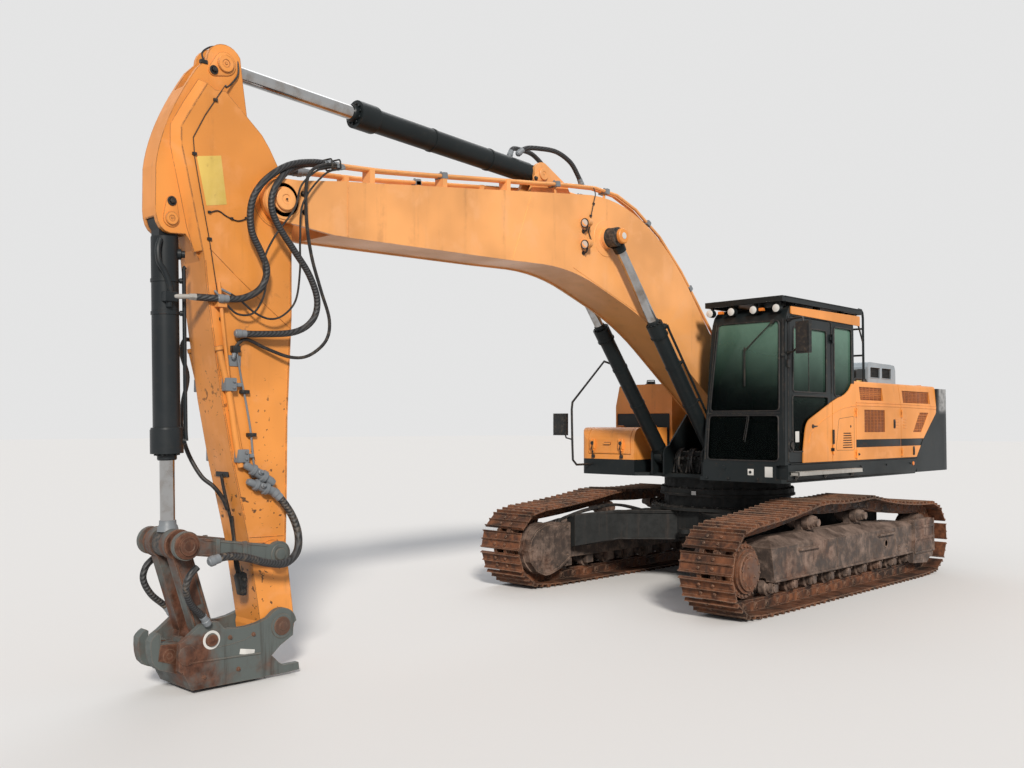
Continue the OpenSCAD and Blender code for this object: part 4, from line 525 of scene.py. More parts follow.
class Piece:
    """One visible piece. It rides its body, or, when bent is given, is left in place on no body."""
    drawn = []

    def __init__(self, name, body, material, bent=None):
        self.name, self.body, self.material, self.bent = name, body, material, bent
        self.points, self.faces = [], []
        Piece.drawn.append(self)

    def add(self, points, faces):
        start = len(self.points)
        self.points += [Vector(p) for p in points]
        self.faces += [[start + i for i in face] for face in faces]
        return self

    def rings(self, loops, loop_back=False):
        """Skin over loops of equally many points, closed by its ends or back to the first."""
        n = len(loops[0])
        points = [p for loop in loops for p in loop]
        faces = []
        for r in range(len(loops) if loop_back else len(loops) - 1):
            a, b = r * n, (r + 1) % len(loops) * n
            faces += [[a + i, a + (i + 1) % n, b + (i + 1) % n, b + i] for i in range(n)]
        if not loop_back:
            faces.append(list(range(n))[::-1])
            faces.append([(len(loops) - 1) * n + i for i in range(n)])
        return self.add(points, faces)

    def prism(self, outline, axis, low, high, round_edge=0.0):
        """An outline pushed along an axis, with its points given on the other two, in order."""
        place = {"x": lambda p, d: (d, p[0], p[1]), "y": lambda p, d: (p[0], d, p[1]),
                 "z": lambda p, d: (p[0], p[1], d)}[axis]
        low, high = sorted((low, high))
        if not round_edge:
            return self.rings([[place(p, low) for p in outline], [place(p, high) for p in outline]])
        inner, soft, e = inset(outline, round_edge), inset(outline, round_edge * 0.3), round_edge
        return self.rings([[place(p, d) for p in ring] for ring, d in (
            (inner, low), (soft, low + e * 0.3), (outline, low + e), (outline, high - e),
            (soft, high - e * 0.3), (inner, high))])

    def box(self, x, y, z, round_edge=0.0):
        """A block between pairs of x, y and z."""
        return self.prism(sheet(x, sorted(y)), "z", *z, round_edge)

    def tube(self, path, radius, sides=10, loop_back=False):
        """A round tube along a path, or along a closed loop."""
        pts = [Vector(p) for p in path]
        n = len(pts)
        loops = []
        side = unit(pts[1] - pts[0]).orthogonal().normalized()
        for i, p in enumerate(pts):
            way = unit(pts[(i + 1) % n] - pts[i - 1]) if loop_back else unit(
                pts[min(i + 1, n - 1)] - pts[max(i - 1, 0)])
            side = (side - way * side.dot(way)).normalized()
            loops.append(circle(p, side, way.cross(side), radius, sides))
        return self.rings(loops, loop_back)

    def lathe(self, base, way, profile, sides=24):
        """Rings of (distance along way, radius) from a base point."""
        side, up = square_to(way)
        return self.rings([circle(Vector(base) + unit(way) * d, side, up, r, sides)
                           for d, r in profile])

    def hoop(self, base, way, inner, outer, high, sides=28):
        """A flat ring standing high over its base."""
        return self.lathe(base, way, [(0, outer), (high * 0.7, outer), (high, outer - high * 0.3),
            (high, inner + high * 0.3), (high * 0.7, inner), (0.0, inner)], sides)

    def bolt(self, foot, way, size=0.024, washer=True):
        """Hexagon head on a washer; size is across the flats."""
        if washer:
            self.lathe(foot, way, [(0, size * 0.78), (size * 0.12, size * 0.76)], 12)
        return self.lathe(Vector(foot) + unit(way) * size * 0.1, way,
            [(0, size * 0.577), (size * 0.5, size * 0.577), (size * 0.62, size * 0.46)], 6)

    def bolts(self, feet, way, size=0.024, washer=True):
        for foot in feet:
            self.bolt(foot, way, size, washer)
        return self

    def bolt_circle(self, middle, way, radius, count, size=0.024, start=0.0):
        return self.bolts(circle(middle, *square_to(way), radius, count, start), way, size, False)

    def make(self):
        mesh = bpy.data.meshes.new(self.name)
        mesh.from_pydata([tuple(p + SHIFT) for p in self.points], [], self.faces)
        mesh.materials.append(self.material)
        shape = bmesh.new()
        shape.from_mesh(mesh)
        bmesh.ops.recalc_face_normals(shape, faces=shape.faces)
        shape.to_mesh(mesh)
        shape.free()
        mesh.polygons.foreach_set("use_smooth", [True] * len(mesh.polygons))
        mesh.set_sharp_from_angle(angle=math.radians(SHARP_ANGLE))
        made = put(self.name, mesh)
        if self.bent:
            bodies, start, end = self.bent
            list(bodies)
            tuple(at(*start))
            tuple(at(*end))
            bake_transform(made)
        else:
            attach(made, self.body)


# Tracks

WHEEL_X, WHEEL_Z = 2.17, 0.47
ROLLER_XS, ROLLER_Z = [(i - 4) * 0.405 for i in range(9)], 0.2443
CARRIER_XS, CARRIER_Z, CHAIN_TOP = (0.72, -0.42), 0.8495, 0.996
SHOES, PIN_RADIUS = 51, 0.366


def chain_pins():
    """The chain's pins, round the wheels and sagging between the upper rollers."""
    def slack(a, b, drop, n=8):
        a, b, down = Vector(a), Vector(b), Vector((0, -4 * drop))
        return [tuple(a.lerp(b, i / n) + down * (i / n * (1 - i / n))) for i in range(1, n)]
    front = arc(WHEEL_X, WHEEL_Z, PIN_RADIUS, -88, 84, 16)
    rear = arc(-WHEEL_X, WHEEL_Z, PIN_RADIUS, 95.2, 268, 16)
    first, second = [(x, CHAIN_TOP) for x in CARRIER_XS]
    top = slack(front[-1], first, 0.02) + [first] + slack(first, second, 0.025) + [second]
    loop = [(1.75, 0.09)] + front + top + slack(second, rear[0], 0.04) + rear + [(-1.75, 0.09)]
    loop = [Vector(p) for p in loop]
    legs = [(b - a).length for a, b in zip(loop, loop[1:] + loop[:1])]
    pitch = sum(legs) / SHOES
    pins = []
    for i in range(SHOES):
        run = (i + 0.5) * pitch
        k = 0
        while run > legs[k]:
            run -= legs[k]
            k += 1
        pins.append(loop[k].lerp(loop[(k + 1) % len(loop)], run / legs[k]))
    return pins


def dress_tracks():
    pins = chain_pins()
    for side, s in SIDES:
        y = s * TRACK_Y
        bolts = Piece("shoe_bolts_" + side, "undercarriage", TRACK)
        links = Piece("chain_links_" + side, "undercarriage", TRACK)
        for a, b in zip(pins, pins[1:] + pins[:1]):
            way, middle = (b - a).normalized(), (a + b) / 2
            out = Vector((way.y, -way.x))
            for along in (-0.045, 0.045):
                for across in (-0.078, 0.078):
                    foot = middle + way * along + out * 0.0615
                    bolts.bolt((foot.x, y + across, foot.y), (out.x, 0, out.y), 0.028, False)
            half = (b - a).length / 2 - 0.01
            plate = [(-half, -0.036), (-half * 0.55, -0.046), (half * 0.3, -0.04), (half, -0.03),
                     (half, 0.02), (half * 0.4, 0.042), (-half * 0.4, 0.042), (-half, 0.026)]
            for across, high in ((0.1, 0.008), (-0.1, -0.008)):
                outline = [middle + way * u + out * v for u, v in plate]
                links.prism([(p.x, p.y) for p in outline], "y", y + across, y + across + high)
                links.lathe((a.x, y + across, a.y), (0, high, 0),
                    [(0, 0.034), (0.011, 0.033), (0.011, 0.021), (0.016, 0.02), (0.017, 0.012)], 12)

        trim = Piece("frame_trim_" + side, "undercarriage", FRAME)
        face = s * 1.6
        trim.box((-1.665, 1.7), (face, face + s * 0.014), (0.311, 0.332), 0.004)
        trim.box((-1.172, -1.16), (face, face + s * 0.004), (0.335, 0.65), 0.0015)
        trim.box((0.33, 0.338), (face, face + s * 0.003), (0.335, 0.65), 0.001)
        trim.hoop((-0.905, face, 0.488), (0, s, 0), 0.036, 0.05, 0.005)
        # Ribs of the guard beside the idler
        guard = s * 1.614
        for z, high in ((0.612, 0.018), (0.47, 0.018), (0.3, 0.014)):
            trim.box((-2.3, -1.69), (guard - s * 0.001, guard + s * 0.014), about(z, high), 0.006)
        for x in (-2.285, -1.7):
            trim.box(about(x, 0.016), (guard - s * 0.001, guard + s * 0.01), (0.3, 0.7), 0.004)
        trim.prism(rounded([(-2.24, 0.215), (-1.74, 0.215), (-1.74, 0.275), (-2.27, 0.275)], 0.02),
            "y", guard - s * 0.001, guard + s * 0.006, 0.002)
        # Feet, caps and bolts of the lower rollers
        for x in ROLLER_XS:
            cap = s * (TRACK_Y + 0.1917)
            trim.lathe((x, cap, ROLLER_Z), (0, s, 0), [(0, 0.046), (0.01, 0.044), (0.014, 0.036),
                (0.014, 0.0)])
            trim.bolts([(x - 0.045, cap, ROLLER_Z + 0.044), (x + 0.045, cap, ROLLER_Z + 0.044)],
                (0, s, 0), 0.024)
            trim.lathe((x, s * (TRACK_Y + 0.112), ROLLER_Z), (0, s, 0),
                [(0, 0.084), (0.006, 0.08), (0.01, 0.066), (0.032, 0.064)])
        for x in CARRIER_XS:
            trim.lathe((x, s * (TRACK_Y + 0.112), CARRIER_Z), (0, s, 0),
                [(0, 0.072), (0.01, 0.07), (0.038, 0.06), (0.06, 0.056), (0.064, 0.048),
                (0.064, 0.018), (0.072, 0.016), (0.072, 0.0)])
            trim.bolt_circle((x, s * (TRACK_Y + 0.176), CARRIER_Z), (0, s, 0), 0.036, 3, 0.012)
            trim.box(about(x, 0.075), about(s * TRACK_Y, 0.055), (0.742, 0.752), 0.003)
        # Plate over the track adjuster and the edge of the motor guard
        trim.prism(sheet((-1.5, -1.24), (0.36, 0.44), 0.02), "y", face, face + s * 0.006, 0.002)
        trim.bolts([(x, face + s * 0.006, z) for x in (-1.475, -1.265) for z in (0.378, 0.422)],
            (0, s, 0), 0.016)
        edge = s * 1.08
        trim.tube([(x, edge, z) for x, z in [(1.7, 0.33), (1.89, 0.222), (2.043, 0.176),
            (2.13, 0.17), (2.265, 0.225), (2.362, 0.332), (2.398, 0.452), (2.368, 0.565),
            (2.275, 0.66), (2.155, 0.711), (2.002, 0.727), (1.7, 0.706)]], 0.006, 6)
        trim.bolts([(x, edge, z) for x, z in [(1.75, 0.35), (1.93, 0.25), (2.2, 0.24), (2.35, 0.45),
            (2.19, 0.66), (1.95, 0.69), (1.75, 0.67)]], (0, -s, 0), 0.02)

        cover = Piece("drive_cover_" + side, "undercarriage", DISC)
        out = (0, s, 0)
        hub = lambda d: (WHEEL_X, s * (TRACK_Y + d), WHEEL_Z)
        cover.lathe(hub(0.232), out, [(0, 0.178), (0.006, 0.172), (0.008, 0.14), (0.012, 0.136),
            (0.014, 0.0)], 36)
        cover.bolt_circle(hub(0.238), out, 0.157, 12, 0.02, 0.13)
        cover.bolt_circle(hub(0.17), out, 0.239, 24, 0.024)
        cover.bolts([(WHEEL_X + 0.06, s * (TRACK_Y + 0.245), WHEEL_Z + 0.05),
            (WHEEL_X - 0.06, s * (TRACK_Y + 0.245), WHEEL_Z - 0.05)], out, 0.022)


def dress_carbody():
    ring = Piece("ring_bolts", "undercarriage", UNDER)
    ring.bolt_circle((0, 0, 1.13), Z, 0.781, 44, 0.022)
    ring.bolt_circle((0, 0, 0.914), Z, 0.87, 36, 0.028)
    ring.hoop((0, 0, 1.044), Z, 0.796, 0.812, 0.03, 64)
    for s in BOTH:
        for e in BOTH:
            top = [(e * 1.688, s * 1.13, 0.805), (e * 1.292, s * 0.7, 0.867),
                (e * 0.832, s * 0.152, 0.867)]
            ring.tube(top, 0.008, 6)
            low = [(e * 1.69, s * 1.135, 0.428), (e * 1.262, s * 0.7, 0.536),
                (e * 0.802, s * 0.152, 0.536)]
            ring.tube(low, 0.01, 6)
    lines = Piece("track_motor_lines", "undercarriage", RUBBER)
    for s in BOTH:
        for dy in (0.0, 0.05):
            lines.tube(curve_through([(0.1 + dy, s * 0.5, 0.7), (0.16 + dy, s * 0.66, 0.7),
                (0.45, s * (0.84 - dy), 0.78), (0.95, s * (0.98 - dy), 0.9),
                (1.4, s * (1.05 - dy), 0.87), (1.72, s * 1.1, 0.8),
                (1.86, s * 1.12, 0.755)]), 0.017, 8)
        lines.lathe((1.86, s * 1.12, 0.73), Z, [(0, 0.03), (0.03, 0.03), (0.03, 0.02),
            (0.05, 0.02)], 12)
    plates = Piece("ring_plate", "undercarriage", WHITE)
    a = math.radians(4)
    c, t = Vector((math.cos(a), math.sin(a), 0)), Vector((-math.sin(a), math.cos(a), 0))
    middle = c * 0.8125 + Vector((0, 0, 1.085))
    flat = sheet((-0.03, 0.03), (-0.022, 0.022))
    corners = [middle + t * u + Vector((0, 0, v)) for u, v in flat]
    plates.rings([corners, [p + c * 0.002 for p in corners]])


# House

def mesh_screen(name, body, x0, x1, z0, z1, y, pitch=0.018, bar=0.006, lean=0.0, material=MESH):
    """Punched sheet in front of a dark backing, which is painted shade for the dim space behind the
    screen; lean slides its top along x.
    """
    screen = Piece(name, body, material)

    def slab(across, deep):
        """A bar from z0 to z1, leaning with the screen."""
        return [[(x + lean * (z - z0), q, z) for x, q in sheet(across, deep)] for z in (z0, z1)]
    count, rows = int((x1 - x0) / pitch), int((z1 - z0) / pitch)
    for i in range(count + 1):
        screen.rings(slab(about(x0 + (x1 - x0) * i / count, bar / 2), (y - 0.003, y)))
    for i in range(rows + 1):
        z = z0 + (z1 - z0) * i / rows
        slide = lean * (z - z0)
        screen.box((x0 + slide, x1 + slide), (y - 0.003, y - 0.0005), about(z, bar / 2))
    # Black sheet behind the screen: painted shade, standing for the shaded space behind the grille
    Piece(name + "_back", body, PLASTIC).rings(slab((x0 - 0.005, x1 + 0.005),
        (y - 0.03, y - 0.024)))


def paddle_latch(piece, x, z, y, s=1):
    """A recessed paddle latch on a side panel."""
    piece.prism(sheet(about(x, 0.026), about(z, 0.055), 0.012), "y", y - s * 0.001,
        y + s * 0.005, 0.002)
    piece.prism(sheet(about(x, 0.015), (z - 0.042, z + 0.03), 0.008), "y", y, y + s * 0.012, 0.003)


def dress_house():
    mesh_screen("screen_upper_front", "side_door_front", -1.146, -0.527, 2.179, 2.331, 1.4585)
    mesh_screen("screen_front", "side_door_front", -1.168, -0.611, 1.802, 2.063, 1.4865)
    mesh_screen("screen_upper_rear", "side_door_rear", -2.577, -1.728, 2.167, 2.315, 1.4585)
    mesh_screen("screen_rear", "side_door_rear", -2.262, -2.014, 1.799, 2.046, 1.4865, lean=-0.98)
    mesh_screen("screen_right", "right_door", -1.898, -1.432, 1.702, 1.978, -1.477)
    # Dark stripe along the panels, and the creases along the belt and round the sweep
    stripes = {"front": sheet((-1.635, -0.395), (1.625, 1.715)),
               "rear": [(-2.262, 1.625), (-1.645, 1.625), (-1.645, 1.715), (-2.33, 1.715)]}
    creases = {"front": ((-1.634, SIDE, 2.113), (-0.396, SIDE, 2.113)),
               "rear": ((-2.755, SIDE, 2.1), (-1.646, SIDE, 2.113))}
    above = {"front": ((-1.634, 1.4895, 2.146), (-0.396, 1.4895, 2.146)),
             "rear": ((-2.762, 1.489, 2.133), (-1.646, 1.4895, 2.146))}
    for end in ("front", "rear"):
        door = "side_door_" + end
        Piece("stripe_" + end, door, CHARCOAL).prism(stripes[end], "y", 1.4838, 1.4856, 0.0005)
        bead = Piece("belt_bead_" + end, door, ORANGE)
        bead.tube(creases[end], 0.007, 8).tube(above[end], 0.004, 8)
    sweep = [(-0.382, 2.108), (-0.1, 2.082), (0.05, 2.052), (0.19, 2.008)]
    bead = Piece("belt_bead_fixed", "upper", ORANGE)
    bead.tube(curve_through(in_plane(SIDE, sweep)), 0.006, 8)
    sweep = [(0.212, 2.0), (0.4, 1.945), (0.58, 1.868), (0.7, 1.79), (0.76, 1.69)]
    bead = Piece("belt_bead_door", "cab_door", ORANGE)
    bead.tube(curve_through(in_plane(SIDE, sweep)), 0.005, 8)
    # Hatch round the slots, latches and locks
    seam = Piece("hatch_seam", "upper", PLASTIC)
    seam.tube(bend([(x, 1.4895, z) for x, z in [(-0.335, 1.6), (-0.335, 1.985), (0.045, 1.955),
        (0.12, 1.6), (-0.32, 1.596)]], 0.03), 0.0022, 6)
    seam.prism(arc(-0.246, 1.869, 0.014, 0, 330, 11), "y", 1.489, 1.494, 0.001)
    seam.lathe((0.202, 1.503, 1.672), Z, [(0, 0.009), (0.004, 0.0125), (0.156, 0.0125),
        (0.16, 0.009)], 16)
    seam.box((0.196, 0.208), (1.478, 1.503), (1.68, 1.82), 0.002)
    latch = Piece("latches_front", "side_door_front", PLASTIC)
    paddle_latch(latch, -1.443, 1.9, SIDE)
    latch.prism(arc(-0.448, 1.545, 0.016, 0, 330, 11), "y", 1.489, 1.496, 0.002)
    latch.box((-0.475, -0.452), (1.489, 1.498), (1.538, 1.552), 0.002)
    for name, body, x in (("vent_slots_front", "side_door_front", -1.53),
            ("vent_slots_rear", "side_door_rear", -1.76)):
        louvre = Piece(name, body, ORANGE)
        for k in range(4):
            louvre.prism(sheet(about(x, 0.045), (1.845 + k * 0.035, 1.86 + k * 0.035), 0.006), "y",
                1.489, 1.494, 0.002)
    latch = Piece("latches_rear", "side_door_rear", PLASTIC)
    paddle_latch(latch, -2.02, 1.56, SIDE)
    latch = Piece("latches_right", "right_door", PLASTIC)
    paddle_latch(latch, -1.98, 1.84, -SIDE, -1)
    # Deck front: two blank plates, a plug and bolts
    plates = Piece("deck_plates", "upper", WHITE)
    plates.box((1.2445, 1.247), (1.035, 1.105), (1.345, 1.412), 0.0008)
    plates.box((1.2445, 1.247), (1.24, 1.33), (1.33, 1.44), 0.0008)
    deck = Piece("deck_fittings", "upper", CHARCOAL)
    deck.lathe((1.245, 0.736, 1.415), X, [(0, 0.028), (0.006, 0.026), (0.008, 0.012), (0.008, 0.0)])
    deck.lathe((1.246, 1.066, 1.378), X, [(0, 0.016), (0.006, 0.015), (0.006, 0.0)])
    deck.bolts([(1.245, y, 1.3) for y in (0.52, 0.8, 1.15)], X, 0.022)
    deck.box((0.92, 1.244), (0.45, 1.4), (1.452, 1.462), 0.003)
    # Rim under the side panels
    deck.tube([(-2.09, 1.487, 1.47), (1.15, 1.487, 1.47)], 0.007, 8)
    deck.tube([(-2.09, -1.487, 1.47), (0.33, -1.487, 1.47)], 0.007, 8)
    for x in (-1.9, -1.2, -0.5):
        for s in BOTH:
            deck.bolt((x, s * SIDE, 1.405), (0, s, 0), 0.018)
    step = Piece("step_tread", "upper", ALLOY)
    for k in range(24):
        for y in (1.512, 1.54, 1.568):
            x = -0.3 + k * 0.06 + (0.03 if y == 1.54 else 0.0)
            step.lathe((x, y, 1.3895), Z, [(0, 0.01), (0.003, 0.008), (0.0035, 0.004)], 8)
    step.box((-0.335, -0.325), (SIDE, 1.59), (1.352, 1.3915), 0.002)
    step.box((1.152, 1.162), (SIDE, 1.59), (1.352, 1.3915), 0.002)
    for x in (-0.25, 0.4, 1.05):
        step.prism([(SIDE, 1.3), (1.5, 1.3), (1.56, 1.375), (1.56, 1.382), (SIDE, 1.382)], "x",
            x, x + 0.008)
    # Counterweight: lifting eyes, joint lines and rear cover
    weight = Piece("weight_fittings", "upper", WEIGHT)
    for y in (-0.85, 0.85):
        weight.tube(handle(-3.02, about(y, 0.07), (2.36, 2.43), 0.05, 6), 0.018, 10)
        for foot in about(y, 0.07):
            weight.lathe((-3.02, foot, 2.37), Z, [(0, 0.034), (0.006, 0.03)], 16)
    weight.prism(sheet((-0.46, 0.46), (1.62, 1.86), 0.03), "x", -3.6398, -3.63, 0.001)
    lamps = Piece("rear_lamps", "upper", AMBER)
    for s in BOTH:
        lamps.lathe((-2.0, s * SIDE, 1.4), (0, s, 0),
            [(0, 0.026), (0.006, 0.024), (0.008, 0.0)], 20)
    # Hood: latches, handles and the filter box's screens
    hood = Piece("hood_fittings", "hood", PLASTIC)
    for y in (-0.3, 1.0):
        hood.box((-0.9, -0.84), about(y, 0.022), (2.398, 2.414), 0.004)
        hood.tube(handle(-1.02, about(y, 0.06), (2.4, 2.44), 0.02), 0.007, 8)
    hood.tube(bend([(-1.3, 1.05, 2.4), (-1.3, 1.05, 2.47), (-1.62, 1.05, 2.47), (-1.62, 1.05, 2.4)],
        0.03), 0.011, 8)
    for name, x in (("box_screen_front", -2.148), ("box_screen_rear", -2.498)):
        mesh_screen(name, "hood", x, x + 0.296, 2.502, 2.638, 0.985, 0.016, 0.004, material=PLASTIC)
    trim = Piece("filter_box_trim", "hood", BOX_BLUE)
    for x in (-2.15, -2.5):
        trim.tube(bend([(x, 1.001, 2.5), (x + 0.3, 1.001, 2.5), (x + 0.3, 1.001, 2.64),
            (x, 1.001, 2.64), (x, 1.001, 2.502)], 0.02), 0.006, 8)
    trim.box((-2.6, -1.83), (0.44, 0.96), (2.688, 2.7035), 0.008)
    trim.box((-2.64, -1.785), (0.392, 1.008), (2.4, 2.42), 0.004)
    strap = Piece("filter_strap", "hood", YELLOW)
    strap.box((-1.752, -1.5), (0.975, 0.984), (2.43, 2.455), 0.003)
    strap.lathe((-1.62, 1.02, 2.4), Z, [(0, 0.045), (0.02, 0.045), (0.03, 0.032), (0.05, 0.03),
        (0.052, 0.0)])
    # Right side: tank front, caps and tread plates
    tank = Piece("tank_front_panel", "upper", CHARCOAL)
    tank.prism(sheet((-1.465, -0.645), (1.465, 2.025), 0.02), "x", 0.2875, 0.292, 0.001)
    tank.lathe((-0.05, -1.18, 2.399), Z, [(0, 0.075), (0.02, 0.075), (0.026, 0.06), (0.05, 0.058),
        (0.056, 0.05), (0.056, 0.0)])
    tank.tube(handle(-0.05, (-1.24, -1.12), (2.448, 2.47), 0.01), 0.006, 8)
    for x in (0.1, -0.55, -1.15):
        tank.box(about(x, 0.004), (-1.4905, -1.488), (1.5, 2.12), 0.0005)
    tread = Piece("tread_plates", "upper", GREY)
    for x0 in (-1.95, -1.22, -0.49):
        tread.box((x0, x0 + 0.66), (-1.36, -1.26), (2.399, 2.404), 0.0015)
        for k in range(11):
            tread.lathe((x0 + 0.04 + k * 0.058, -1.31, 2.4035), Z,
                [(0, 0.016), (0.004, 0.013), (0.004, 0.008)], 10)
    # Toolbox: hooks, catches, handle and lid's pressed line
    lid = Piece("toolbox_hooks", "toolbox_lid", ORANGE)
    dark = Piece("toolbox_latches", "toolbox_lid", PLASTIC)
    for y in (-1.28, -0.84):
        for near, far in ((-0.03, -0.019), (0.019, 0.03)):
            hook = teardrop((1.033, 1.6), 0.02, (1.036, 1.7), 0.012, 6)
            lid.prism(hook, "y", y + near, y + far, 0.002)
        dark.lathe((1.044, y, 1.655), X, [(0, 0.026), (0.008, 0.024), (0.01, 0.01),
            (0.01, 0.0)], 16)
        dark.tube(bend([(1.046, y, 1.64), (1.058, y, 1.6), (1.04, y, 1.545), (1.03, y, 1.512)],
            0.02), 0.007, 8)
    dark.prism(sheet((-1.115, -1.005), (1.632, 1.668), 0.016), "x", 1.016, 1.024, 0.003)
    lid.tube(bend([(1.0205, -1.335, 1.54), (1.0205, -0.735, 1.54), (1.018, -0.735, 1.68),
        (1.018, -1.335, 1.68), (1.0205, -1.335, 1.545)], 0.03), 0.003, 6)
    catches = Piece("toolbox_catches", "upper", PLASTIC)
    for y in (-1.28, -0.84):
        catches.box((1.018, 1.034), about(y, 0.022), (1.47, 1.512), 0.004)
        catches.lathe((1.026, y - 0.02, 1.505), Y, [(0, 0.008), (0.04, 0.008)], 10)


# Cab

def screen_x(z):
    """The cab's front face at height z."""
    return 1.245 - 0.02 * (z - 1.46) / 1.43


def right_wall(x, z, proud=0.0):
    """A point on the cab's right wall, which leans out towards its foot."""
    return (x, 0.475 + 0.117 * (z - 1.46) / 1.6 + proud, z)


def gasket(piece, outline, place, radius=0.05):
    """A rubber seal round a window; place turns flat points into points in space."""
    piece.tube([place(u, v) for u, v in rounded(outline, radius, 5)], 0.009, 8, loop_back=True)


def upright(a, b, low, high):
    """The corners of an upright rectangle over the line from a to b."""
    return [Vector((*p, z)) for p, z in ((a, low), (b, low), (b, high), (a, high))]


